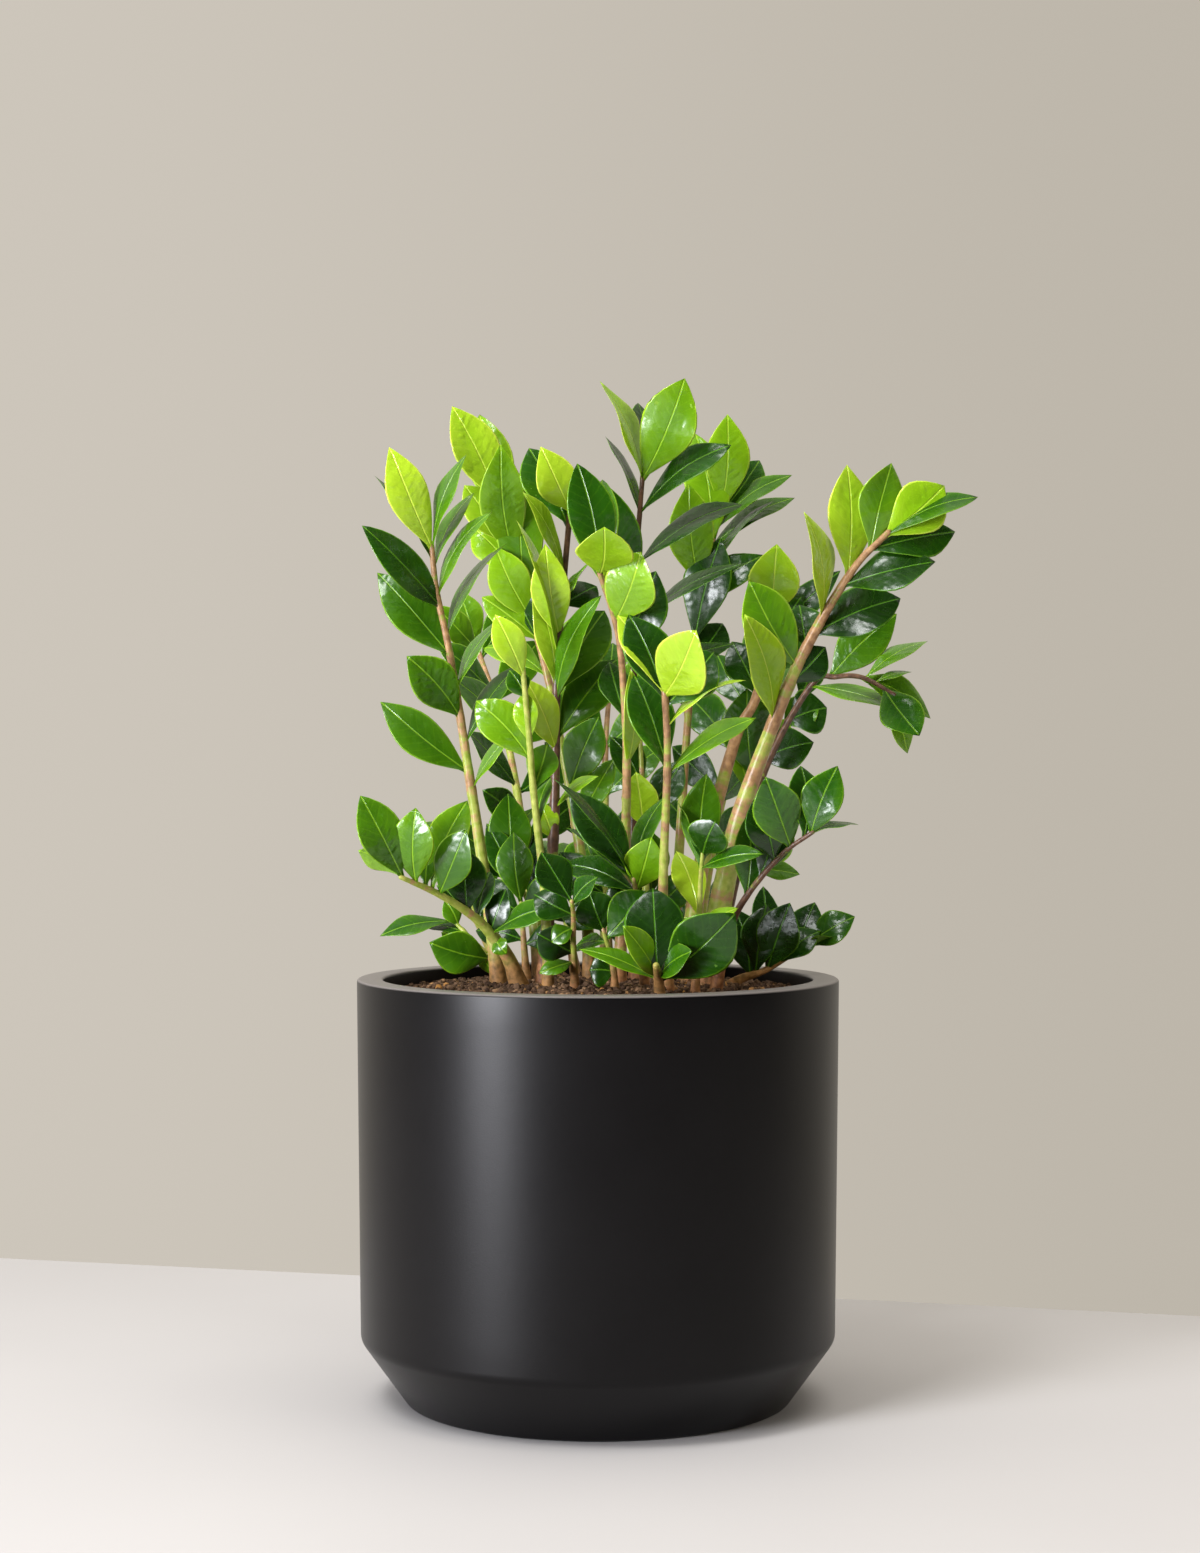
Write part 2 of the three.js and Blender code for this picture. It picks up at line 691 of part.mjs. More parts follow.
// Where a leaflet of a drawn frond grows and looks.
function drawnLeaflet(frond, [place, lean, toward, turn, length, width], number) {
  const swing = number % 2 ? -LEAFLET_SWING : LEAFLET_SWING;
  const leaning = THREE.MathUtils.degToRad(lean);
  const forward = THREE.MathUtils.degToRad(toward + swing);
  const along = new THREE.Vector3(
    Math.cos(leaning) * Math.cos(forward),
    -Math.sin(forward),
    Math.sin(leaning) * Math.cos(forward),
  );
  const face = new THREE.Vector3(0, -1, 0);
  face.addScaledVector(along, -face.dot(along)).normalize();
  face.applyAxisAngle(along, THREE.MathUtils.degToRad(turn));
  return {
    base: stalkMiddle(stalkLine(frond), Math.min(place, LAST_LEAFLET)),
    along,
    face,
    length: length * GROWTH,
    width: width * GROWTH,
  };
}

// Where a leaflet of a paired frond grows and looks: side is -1, 1, or 0 for the one at the tip.
function pairedLeaflet(frond, place, side, row) {
  const line = stalkLine(frond);
  const start = line.getPointAt(0);
  const outward = line.getPointAt(1).sub(start).setZ(0).normalize();
  const tangent = line.getTangentAt(place);
  const upper = outward.clone().negate();
  upper.addScaledVector(tangent, -upper.dot(tangent)).normalize();
  const sideways = new THREE.Vector3().crossVectors(tangent, upper);
  const spread = side === 0 ? 0 : THREE.MathUtils.degToRad(PAIR_SPREAD - PAIR_CLOSING * row);
  const lift = THREE.MathUtils.degToRad(PAIR_LIFT);
  const along = tangent.clone().multiplyScalar(Math.cos(spread));
  along.addScaledVector(sideways, Math.sin(spread) * side * Math.cos(lift));
  along.addScaledVector(upper, Math.sin(spread) * Math.sin(lift));
  const face = upper.clone().addScaledVector(along, -upper.dot(along)).normalize();
  const fullness = 1 - Math.abs(2 * row - 1);
  const size = THREE.MathUtils.lerp(SMALLEST_LEAFLET, LARGEST_LEAFLET, fullness) * GROWTH;
  return {
    base: stalkMiddle(line, Math.min(place, LAST_LEAFLET)),
    along: along.normalize(),
    face,
    length: frond.length * size,
    width: frond.width * size,
  };
}

// All the leaflets of a paired frond.
function pairedLeaflets(frond) {
  const leaflets = [pairedLeaflet(frond, 1, 0, 1)];
  for (let pair = 0; pair < frond.pairs; pair += 1) {
    const row = pair / (frond.pairs - 1);
    const place = THREE.MathUtils.lerp(frond.firstPair, LAST_PAIR, row);
    leaflets.push(pairedLeaflet(frond, place, -1, row));
    leaflets.push(pairedLeaflet(frond, place - PAIR_STAGGER, 1, row));
  }
  return leaflets;
}

// A frond: its stalk and its leaflets, grown as one piece. A hollow that crowded leaflets would shut
// in comes out of the union as a body of negative volume, and is filled by leaving it out.
function frondGeometry(frond) {
  const leaflets = frond.leaflets
    ? frond.leaflets.map((leaflet, number) => drawnLeaflet(frond, leaflet, number))
    : pairedLeaflets(frond);
  const blades = leaflets.map((leaflet) => solidOf(leafletGeometry(leaflet)));
  const grown = wasm.Manifold.union([solidOf(stalkGeometry(frond)), ...blades]);
  const bodies = grown.decompose().filter((body) => body.volume() > 0);
  return geometryOf(wasm.Manifold.compose(bodies));
}

// ---------------------------------------------------------------- assembly
const MATTE_BLACK = { color: 0x1d1b1c, roughness: 0.55 };
const DARK_SOIL = { color: 0x3a2a20, roughness: 0.95 };
const GLOSSY_LEAF = { color: 0x3f7d18, roughness: 0.3 };

// A named piece with a material of its own.
function part(name, geometry, finish) {
  const mesh = new THREE.Mesh(geometry, new THREE.MeshStandardMaterial(finish));
  mesh.name = name;
  return mesh;
}

const fronds = [...DRAWN_FRONDS, ...PAIRED_FRONDS];
const pottedPlant = new THREE.Group();
pottedPlant.add(part("planter", potGeometry(), MATTE_BLACK));
pottedPlant.add(part("soil", soilGeometry(fronds), DARK_SOIL));
for (const frond of fronds) {
  pottedPlant.add(part(frond.name, frondGeometry(frond), GLOSSY_LEAF));
}

export default pottedPlant;
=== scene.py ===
import logging
import math
from dataclasses import dataclass
from enum import Enum

import bpy
import numpy as np
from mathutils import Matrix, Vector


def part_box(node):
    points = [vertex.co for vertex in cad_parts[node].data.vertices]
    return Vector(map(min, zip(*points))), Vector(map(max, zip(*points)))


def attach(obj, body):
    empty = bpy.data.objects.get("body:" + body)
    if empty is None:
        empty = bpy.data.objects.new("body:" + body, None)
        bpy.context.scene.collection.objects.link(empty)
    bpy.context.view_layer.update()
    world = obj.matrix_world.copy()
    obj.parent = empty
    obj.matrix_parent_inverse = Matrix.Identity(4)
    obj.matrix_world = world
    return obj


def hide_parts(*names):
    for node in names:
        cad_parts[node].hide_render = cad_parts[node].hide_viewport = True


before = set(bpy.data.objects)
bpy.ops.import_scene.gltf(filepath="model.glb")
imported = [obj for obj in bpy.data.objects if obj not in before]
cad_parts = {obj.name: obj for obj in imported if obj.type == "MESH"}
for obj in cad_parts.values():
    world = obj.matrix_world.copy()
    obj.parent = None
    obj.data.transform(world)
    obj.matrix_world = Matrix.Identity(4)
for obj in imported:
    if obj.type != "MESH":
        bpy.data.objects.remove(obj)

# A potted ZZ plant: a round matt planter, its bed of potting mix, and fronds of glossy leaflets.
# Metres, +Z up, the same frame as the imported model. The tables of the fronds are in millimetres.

logging.basicConfig(level=logging.INFO, format="%(message)s")
log = logging.getLogger("potted_plant")

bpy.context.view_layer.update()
MM = 0.001
SEED = 732

Link = bpy.types.NodeSocket | bpy.types.Node | float | tuple


# ---------------------------------------------------------------- small helpers
def srgb(code: str) -> tuple[float, float, float, float]:
    """Turns an sRGB hex colour to linear.

    Args:
        code: a hash and six hex digits.

    Returns:
        Linear red, green, blue and an alpha of 1.
    """
    channels = np.array([int(code[i:i + 2], 16) for i in (1, 3, 5)]) / 255.0
    linear = np.where(channels <= 0.04045, channels / 12.92, ((channels + 0.055) / 1.055) ** 2.4)
    return (*linear.tolist(), 1.0)


def add(tree: bpy.types.NodeTree, kind: str, links: dict[str | int, Link],
        **settings: object) -> bpy.types.Node:
    """Adds a node with its settings and its links.

    Args:
        tree: the node tree of a material or the world.
        kind: the node's type without its ShaderNode in front, such as "Math".
        links: the name or number of an input, to its value, to the output socket that feeds it, or to
            a node whose first output feeds it.
        settings: the node's own properties; stops are a colour ramp's places and sRGB colours.

    Returns:
        The new node.
    """
    node = tree.nodes.new("ShaderNode" + kind)
    stops = settings.pop("stops", [])
    for name, value in settings.items():
        setattr(node, name, value)
    for place, code in stops[2:]:
        node.color_ramp.elements.new(place)
    for element, (place, code) in zip(node.color_ramp.elements if stops else [], stops):
        element.position = place
        element.color = srgb(code)
    for key, value in links.items():
        named = [s for s in node.inputs if s.enabled and s.name == key]
        socket = named[0] if named else node.inputs[key]
        if isinstance(value, bpy.types.Node):
            value = next(s for s in value.outputs if s.enabled)
        if isinstance(value, bpy.types.NodeSocket):
            tree.links.new(value, socket)
        else:
            socket.default_value = value
    return node


def new_material(name: str) -> bpy.types.Material:
    """Makes an empty node material."""
    material = bpy.data.materials.new(name)
    material.use_nodes = True
    material.node_tree.nodes.clear()
    return material


def finish_material(material: bpy.types.Material, links: dict[str | int, Link]) -> bpy.types.Material:
    """Gives a material its surface shader and its output.

    Args:
        material: the material whose nodes are in place.
        links: the shader's inputs.

    Returns:
        The same material.
    """
    surface = add(material.node_tree, "BsdfPrincipled", links)
    add(material.node_tree, "OutputMaterial", {"Surface": surface})
    return material


def unit(vectors: np.ndarray) -> np.ndarray:
    """Scales each vector to a length of 1."""
    return vectors / np.linalg.norm(vectors, axis=-1, keepdims=True)


@dataclass
class Surface:
    """A mesh as whole arrays, with what its materials read.

    Attributes:
        points: the corners, in metres.
        faces: corner numbers, in one array for each size of face and finish.
        finishes: the material's number for each of those arrays.
        blade: three measures for each corner, read by the finish.
        trait: three qualities for each corner, read by the finish.
    """

    points: np.ndarray
    faces: list[np.ndarray]
    finishes: list[int]
    blade: np.ndarray
    trait: np.ndarray


def joined(surfaces: list[Surface]) -> Surface:
    """Puts several surfaces into one, with each one's corner numbers moved on."""
    starts = np.cumsum([0] + [len(s.points) for s in surfaces[:-1]])
    return Surface(
        np.concatenate([s.points for s in surfaces]),
        [block + start for s, start in zip(surfaces, starts) for block in s.faces],
        [finish for s in surfaces for finish in s.finishes],
        np.concatenate([s.blade for s in surfaces]),
        np.concatenate([s.trait for s in surfaces]),
    )


def make_piece(name: str, surface: Surface, materials: list[bpy.types.Material]) -> bpy.types.Object:
    """Makes a smooth mesh object at the origin from a surface.

    Args:
        name: the piece's name.
        surface: its corners, faces and measures.
        materials: its materials, in the order of the surface's numbers.

    Returns:
        The new object.
    """
    loops = np.concatenate([block.ravel() for block in surface.faces]).astype(np.int32)
    sizes = np.concatenate([np.full(len(block), block.shape[1]) for block in surface.faces])
    numbers = np.concatenate([np.full(len(b), n) for b, n in zip(surface.faces, surface.finishes)])
    starts = np.concatenate([[0], np.cumsum(sizes)[:-1]])
    mesh = bpy.data.meshes.new(name)
    mesh.vertices.add(len(surface.points))
    mesh.vertices.foreach_set("co", surface.points.astype(np.float32).ravel())
    mesh.loops.add(len(loops))
    mesh.loops.foreach_set("vertex_index", loops)
    mesh.polygons.add(len(sizes))
    mesh.polygons.foreach_set("loop_start", starts.astype(np.int32))
    for material in materials:
        mesh.materials.append(material)
    mesh.polygons.foreach_set("material_index", numbers.astype(np.int32))
    mesh.polygons.foreach_set("use_smooth", np.ones(len(sizes), dtype=bool))
    mesh.update(calc_edges=True)
    for key, value in (("blade", surface.blade), ("trait", surface.trait)):
        layer = mesh.attributes.new(key, "FLOAT_VECTOR", "POINT")
        layer.data.foreach_set("vector", value.astype(np.float32).ravel())
    mesh.validate()
    piece = bpy.data.objects.new(name, mesh)
    bpy.context.scene.collection.objects.link(piece)
    return piece


def declare(piece: bpy.types.Object, nodes: tuple[str, ...] = ()) -> None:
    """Fixes a piece to the model's one body, and hides the CAD nodes that it stands for.

    Args:
        piece: the finished piece.
        nodes: the CAD nodes that it replaces.
    """
    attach(piece, "root")
    if nodes:
        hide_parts(*nodes)


def ring_faces(rings: int, sides: int) -> np.ndarray:
    """Quads between rings: a corner, the next one round, and the same two on the next ring."""
    ring, side = np.meshgrid(np.arange(rings - 1), np.arange(sides), indexing="ij")
    here, after = ring * sides + side, ring * sides + (side + 1) % sides
    return np.stack([here.ravel(), after.ravel(), (after + sides).ravel(), (here + sides).ravel()], axis=1)


def end_fans(rings: int, sides: int) -> np.ndarray:
    """Triangles that close the first and the last ring on two corners that come after all the rings."""
    side = np.arange(sides)
    after = (side + 1) % sides
    last, pole = (rings - 1) * sides, np.full(sides, rings * sides)
    first_fan = np.stack([pole, after, side], 1)
    last_fan = np.stack([pole + 1, last + side, last + after], 1)
    return np.concatenate([first_fan, last_fan])


# ---------------------------------------------------------------- finishes
class Gloss(Enum):
    """Roughness of the finishes, from the wax of a leaf to dry earth."""

    WAXED = 0.2
    SATIN = 0.4
    DULL = 0.6
    EARTH = 0.95


@dataclass(frozen=True)
class LivingLeaf:
    """Living ZZ leaf: a thick waxy blade, lime when young and deep green when old.

    The wax gives sharp white reflections that the slight waves of the blade break up; the pale
    midrib and fine side veins show through it, and the underside is paler and duller.
    It reads blade as mm along, mm across and share across, and trait as age, chance and underside.
    """

    vein_spacing_mm: float = 6.5
    rib_half_mm: float = 0.7
    cloud_per_m: float = 38.0
    fleck_per_m: float = 140.0

    def make(self) -> bpy.types.Material:
        """Builds the material.

        Returns:
            The finished material.
        """
        material = new_material("zz_leaf_waxy_living")
        tree = material.node_tree
        blade = add(tree, "Attribute", {}, attribute_name="blade")
        trait = add(tree, "Attribute", {}, attribute_name="trait")
        mm = add(tree, "SeparateXYZ", {0: blade.outputs["Vector"]})
        kind = add(tree, "SeparateXYZ", {0: trait.outputs["Vector"]})
        young, chance, under = kind.outputs[0], kind.outputs[1], kind.outputs[2]
        place = add(tree, "TexCoord", {}).outputs["Object"]
        cloud = add(tree, "TexNoise", {"Vector": place, "Scale": self.cloud_per_m, "Detail": 3.0})
        fleck = add(tree, "TexNoise", {"Vector": place, "Scale": self.fleck_per_m, "Detail": 2.0})

        # side veins slant from the midrib to the margin, a vein spacing apart
        across = add(tree, "Math", {0: mm.outputs[1]}, operation="ABSOLUTE")
        slant = add(tree, "Math", {0: across, 1: -0.85, 2: mm.outputs[0]}, operation="MULTIPLY_ADD")
        wander = add(tree, "Math", {0: cloud, 1: 12.0, 2: slant}, operation="MULTIPLY_ADD")
        between = add(tree, "Math", {0: wander, 1: self.vein_spacing_mm / 2}, operation="PINGPONG")
        vein = add(tree, "MapRange", {"Value": between, "From Max": 0.8, "To Min": 1.0, "To Max": 0.0},
                   interpolation_type="SMOOTHSTEP")
        rib = add(tree, "MapRange", {"Value": across, "From Min": self.rib_half_mm * 0.35,
                                     "From Max": self.rib_half_mm, "To Min": 1.0, "To Max": 0.0},
                  interpolation_type="SMOOTHSTEP")
        share = add(tree, "Math", {0: mm.outputs[2]}, operation="ABSOLUTE")
        edge = add(tree, "MapRange", {"Value": share, "From Min": 0.9, "From Max": 0.98},
                   interpolation_type="SMOOTHSTEP")

        # age sets the green, and clouds and each leaflet's own chance shift it a little; painted shading
        # then makes each blade lighter towards its margins and darker along its midrib
        shade = add(tree, "Math", {0: cloud, 1: 0.24, 2: young}, operation="MULTIPLY_ADD")
        shade = add(tree, "Math", {0: chance, 1: 0.12, 2: shade}, operation="MULTIPLY_ADD")
        # painted shading: the share across lightens the green towards the margins, standing in for the light
        # and shade on the curled blade
        shade = add(tree, "Math", {0: share, 1: 0.1, 2: shade}, operation="MULTIPLY_ADD")
        shade = add(tree, "Math", {0: shade, 1: 0.23}, operation="SUBTRACT")
        green = add(tree, "ValToRGB", {0: shade}, stops=[
            (0.0, "#102d03"), (0.2, "#1e4904"), (0.45, "#467408"), (0.72, "#74a010"), (1.0, "#9abb26")])
        pale = add(tree, "ValToRGB", {0: shade}, stops=[
            (0.0, "#3d6b1c"), (0.5, "#769e2a"), (1.0, "#adc840")])
        line = add(tree, "ValToRGB", {0: shade}, stops=[
            (0.0, "#4c8410"), (0.5, "#94bf26"), (1.0, "#dcea58")])
        colour = green
        layers = ((vein, 0.06, line), (under, 0.7, pale), (edge, 0.7, line), (rib, 0.6, line))
        for part, amount, over in layers:
            weight = add(tree, "Math", {0: part, 1: amount}, operation="MULTIPLY")
            colour = add(tree, "Mix", {"Factor": weight, "A": colour, "B": over}, data_type="RGBA")

        wide = add(tree, "Math", {0: cloud, 1: 4.0}, operation="MULTIPLY")
        pucker = add(tree, "MapRange", {"Value": between, "From Max": self.vein_spacing_mm / 2,
                                        "To Max": 0.5}, interpolation_type="SMOOTHSTEP")
        strong = add(tree, "MapRange", {"Value": fleck, "From Min": 0.45, "From Max": 0.7})
        strong = add(tree, "Math", {0: strong, 1: chance}, operation="MULTIPLY")
        relief = add(tree, "Math", {0: pucker, 1: strong, 2: wide}, operation="MULTIPLY_ADD")
        relief = add(tree, "Math", {0: rib, 1: -0.5, 2: relief}, operation="MULTIPLY_ADD")
        bump = add(tree, "Bump", {"Strength": 0.7, "Distance": 0.001, "Height": relief})
        rough = add(tree, "MapRange", {"Value": fleck, "To Min": Gloss.WAXED.value,
                                       "To Max": Gloss.WAXED.value + 0.16})
        rough = add(tree, "Math", {0: young, 1: -0.1, 2: rough}, operation="MULTIPLY_ADD")
        rough = add(tree, "Math", {0: under, 1: 0.12, 2: rough}, operation="MULTIPLY_ADD")
        return finish_material(material, {
            "Base Color": colour, "Roughness": rough, "Normal": bump, "Specular IOR Level": 0.5})


@dataclass(frozen=True)
class LivingStalk:
    """Living ZZ stalk: smooth green skin with purple-brown mottling, on a brown corky foot.

    The bands of mottling lie across the stalk and close up towards its top, and the skin shines a
    little less than the leaflets.
    It reads blade as mm over the soil, mm along and share round, and trait as darkness, chance and 0.
    """

    band_mm: float = 16.0
    foot_mm: float = 34.0
    tan_from_mm: float = 90.0
    tan_to_mm: float = 280.0

    def make(self) -> bpy.types.Material:
        """Builds the material.

        Returns:
            The finished material.
        """
        material = new_material("zz_stalk_green_mottled")
        tree = material.node_tree
        blade = add(tree, "Attribute", {}, attribute_name="blade")
        trait = add(tree, "Attribute", {}, attribute_name="trait")
        mm = add(tree, "SeparateXYZ", {0: blade.outputs["Vector"]})
        kind = add(tree, "SeparateXYZ", {0: trait.outputs["Vector"]})
        place = add(tree, "TexCoord", {}).outputs["Object"]
        dark = kind.outputs[0]
        along = add(tree, "Math", {0: mm.outputs[1], 1: 1.0 / self.band_mm}, operation="MULTIPLY")
        route = add(tree, "CombineXYZ", {0: along, 1: kind.outputs[1]})
        band = add(tree, "TexNoise", {"Vector": route, "Scale": 1.0, "Detail": 3.0, "Roughness": 0.65})
        fleck = add(tree, "TexNoise", {"Vector": place, "Scale": 260.0, "Detail": 3.0})
        mottle = add(tree, "Math", {0: fleck, 1: 0.5, 2: band}, operation="MULTIPLY_ADD")
        mottle = add(tree, "Math", {0: dark, 1: 0.5, 2: mottle}, operation="MULTIPLY_ADD")
        rise = add(tree, "MapRange", {"Value": mm.outputs[0], "From Min": self.tan_from_mm,
                                      "From Max": self.tan_to_mm, "To Max": 0.26})
        mottle = add(tree, "Math", {0: mottle, 1: rise}, operation="ADD")
        mottle = add(tree, "MapRange", {"Value": mottle, "From Min": 0.92, "From Max": 1.1},
                     interpolation_type="SMOOTHSTEP")
        skin = add(tree, "ValToRGB", {0: fleck}, stops=[(0.3, "#82942e"), (0.7, "#aeb25a")])
        tan = add(tree, "ValToRGB", {0: fleck}, stops=[(0.3, "#7d5a3c"), (0.7, "#b08a60")])
        purple = add(tree, "ValToRGB", {0: fleck}, stops=[(0.3, "#3c2a20"), (0.7, "#6a4c38")])
        deep = add(tree, "MapRange", {"Value": dark, "From Min": 0.5, "From Max": 0.8})
        stain = add(tree, "Mix", {"Factor": deep, "A": tan, "B": purple}, data_type="RGBA")
        bark = add(tree, "ValToRGB", {0: fleck}, stops=[(0.3, "#5a3520"), (0.7, "#ab7648")])
        foot = add(tree, "MapRange", {"Value": mm.outputs[0], "From Min": self.foot_mm * 0.4,
                                      "From Max": self.foot_mm, "To Min": 0.9, "To Max": 0.0},
                   interpolation_type="SMOOTHSTEP")
        colour = add(tree, "Mix", {"Factor": mottle, "A": skin, "B": stain}, data_type="RGBA")
        colour = add(tree, "Mix", {"Factor": foot, "A": colour, "B": bark}, data_type="RGBA")
        bump = add(tree, "Bump", {"Strength": 0.4, "Distance": 0.0006, "Height": fleck})
        rough = add(tree, "Math", {0: foot, 1: 0.35, 2: Gloss.SATIN.value - 0.06}, operation="MULTIPLY_ADD")
        return finish_material(material, {
            "Base Color": colour, "Roughness": rough, "Normal": bump, "Specular IOR Level": 0.4})


@dataclass(frozen=True)
class MattGlaze:
    """Matt black glazed stoneware: a smooth dead-black skin that spreads highlights into soft bands.

    A very fine tooth in the glaze and faint clouding keep the wide highlight from looking polished,
    and the flat top of the rim is painted a paler grey: a painted highlight for the light that falls on it
    from above.
    """

    tooth_mm: float = 0.9
    # painted highlight: the paler grey painted on the flat top of the rim, for the light that falls on it
    rim: str = "#6b6664"
    cloud_per_m: float = 14.0

    def make(self) -> bpy.types.Material:
        """Builds the material.

        Returns:
            The finished material.
        """
        material = new_material("stoneware_matt_black_glaze")
        tree = material.node_tree
        place = add(tree, "TexCoord", {}).outputs["Object"]
        tooth = add(tree, "TexNoise", {"Vector": place, "Scale": 1.0 / (self.tooth_mm * MM), "Detail": 2.0})
        cloud = add(tree, "TexNoise", {"Vector": place, "Scale": self.cloud_per_m, "Detail": 4.0})
        black = add(tree, "ValToRGB", {0: cloud}, stops=[(0.3, "#060506"), (0.7, "#0a090a")])
        height = add(tree, "SeparateXYZ", {0: place}).outputs[2]
        # painted highlight: the flat top of the rim is mixed to a paler grey for the light falling on it
        # from above
        rim = add(tree, "MapRange", {"Value": height, "From Min": POT_TOP - 1.4 * MM,
                                     "From Max": POT_TOP - 0.3 * MM}, interpolation_type="SMOOTHSTEP")
        colour = add(tree, "Mix", {"Factor": rim, "A": black, "B": srgb(self.rim)}, data_type="RGBA")
        rough = add(tree, "MapRange", {"Value": cloud, "To Min": Gloss.SATIN.value - 0.08,
                                       "To Max": Gloss.SATIN.value - 0.04})
        bump = add(tree, "Bump", {"Strength": 0.16, "Distance": 0.00025, "Height": tooth})
        return finish_material(material, {
            "Base Color": colour, "Roughness": rough, "Normal": bump, "Specular IOR Level": 0.2})


@dataclass(frozen=True)
class PottingMix:
    """Potting mix: dark composted bark and peat with paler chips, rough and without any shine.

    It reads trait as each crumb's chance, so some crumbs come out pale or rusty.
    """

    grain_mm: float = 2.6

    def make(self) -> bpy.types.Material:
        """Builds the material.

        Returns:
            The finished material.
        """
        material = new_material("potting_mix_crumbly")
        tree = material.node_tree
        place = add(tree, "TexCoord", {}).outputs["Object"]
        trait = add(tree, "Attribute", {}, attribute_name="trait")
        kind = add(tree, "SeparateXYZ", {0: trait.outputs["Vector"]})
        grain = add(tree, "TexNoise", {"Vector": place, "Scale": 1.0 / (self.grain_mm * MM), "Detail": 4.0})
        patch = add(tree, "TexNoise", {"Vector": place, "Scale": 45.0, "Detail": 2.0})
        earth = add(tree, "ValToRGB", {0: grain}, stops=[
            (0.3, "#2c2018"), (0.5, "#4e3a2b"), (0.62, "#6c5440"), (0.75, "#937a5f")])
        chip = add(tree, "ValToRGB", {0: kind.outputs[1]}, stops=[
            (0.0, "#2f2219"), (0.45, "#513c2d"), (0.8, "#735a45"), (0.94, "#9a7959"), (1.0, "#b98443")])
        colour = add(tree, "Mix", {"Factor": kind.outputs[0], "A": earth, "B": chip}, data_type="RGBA")
        tint = add(tree, "MapRange", {"Value": patch, "From Min": 0.3, "From Max": 0.7, "To Min": 0.75,
                                      "To Max": 1.2})
        colour = add(tree, "HueSaturation", {"Value": tint, "Color": colour})
        height = add(tree, "Math", {0: grain, 1: patch}, operation="ADD")
        bump = add(tree, "Bump", {"Strength": 0.9, "Distance": 0.002, "Height": height})
        return finish_material(material, {
            "Base Color": colour, "Roughness": Gloss.EARTH.value, "Normal": bump, "Specular IOR Level": 0.2})


@dataclass(frozen=True)
class PaintedFloor:
    """Matt off-white painted board: an even pale surface that takes a soft shadow."""

    def make(self) -> bpy.types.Material:
        """Builds the material.

        Returns:
            The finished material.
        """
        material = new_material("board_matt_white_paint")
        tree = material.node_tree
        place = add(tree, "TexCoord", {}).outputs["Object"]
        cloud = add(tree, "TexNoise", {"Vector": place, "Scale": 3.0, "Detail": 2.0})
        colour = add(tree, "ValToRGB", {0: cloud}, stops=[(0.3, "#b5b3b3"), (0.7, "#b8b6b6")])
        return finish_material(material, {
            "Base Color": colour, "Roughness": Gloss.DULL.value, "Specular IOR Level": 0.3})


# ---------------------------------------------------------------- planter and soil
POT_TOP = float(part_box("planter")[1][2])
POT_RADIUS = float(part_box("planter")[1][0])
SOIL_EDGE_Z = POT_TOP - 10 * MM


def turned(profile: np.ndarray, sides: int) -> Surface:
    """Turns a profile about the upright axis.

    Each corner of the profile becomes a ring: radius times the cosine and sine of the turn, at its
    own height. The first and last corners lie on the axis and close the surface.

    Args:
        profile: rows of radius and height, in metres, from the bottom middle outwards.
        sides: corners in a ring.

    Returns:
        The closed surface, facing outwards.
    """
    turn = np.linspace(0.0, 2.0 * math.pi, sides, endpoint=False)
    radius, height = profile[1:-1, 0, None], profile[1:-1, 1, None]
    rings = np.stack([radius * np.cos(turn), radius * np.sin(turn), height + 0.0 * turn], axis=-1)
    poles = np.array([[0.0, 0.0, profile[0, 1]], [0.0, 0.0, profile[-1, 1]]])
    points = np.concatenate([rings.reshape(-1, 3), poles])
    count = len(profile) - 2
    blank = np.zeros_like(points)
    return Surface(points, [ring_faces(count, sides), end_fans(count, sides)], [0, 0], blank, blank)


def rounded(corners: list[tuple[float, float, float]], steps: int = 6) -> np.ndarray:
    """Rounds the corners of a profile.

    Each corner is cut back by its distance and bridged by a quadratic curve, whose points are
    (1-t)^2 of the first cut, 2t(1-t) of the corner and t^2 of the second cut.

    Args:
        corners: radius, height and how far the rounding reaches, in metres.
        steps: stretches in each rounding.

    Returns:
        Rows of radius and height.
    """
    share = np.linspace(0.0, 1.0, steps + 1)[:, None]
    spots = np.array([corner[:2] for corner in corners])
    rows = [spots[:1]]
    for before, spot, after, reach in zip(spots, spots[1:], spots[2:], [c[2] for c in corners[1:]]):
        start = spot + unit(before - spot) * reach
        end = spot + unit(after - spot) * reach
        rows.append((1 - share) ** 2 * start + 2 * share * (1 - share) * spot + share ** 2 * end)
    rows.append(spots[-1:])
    return np.concatenate(rows)


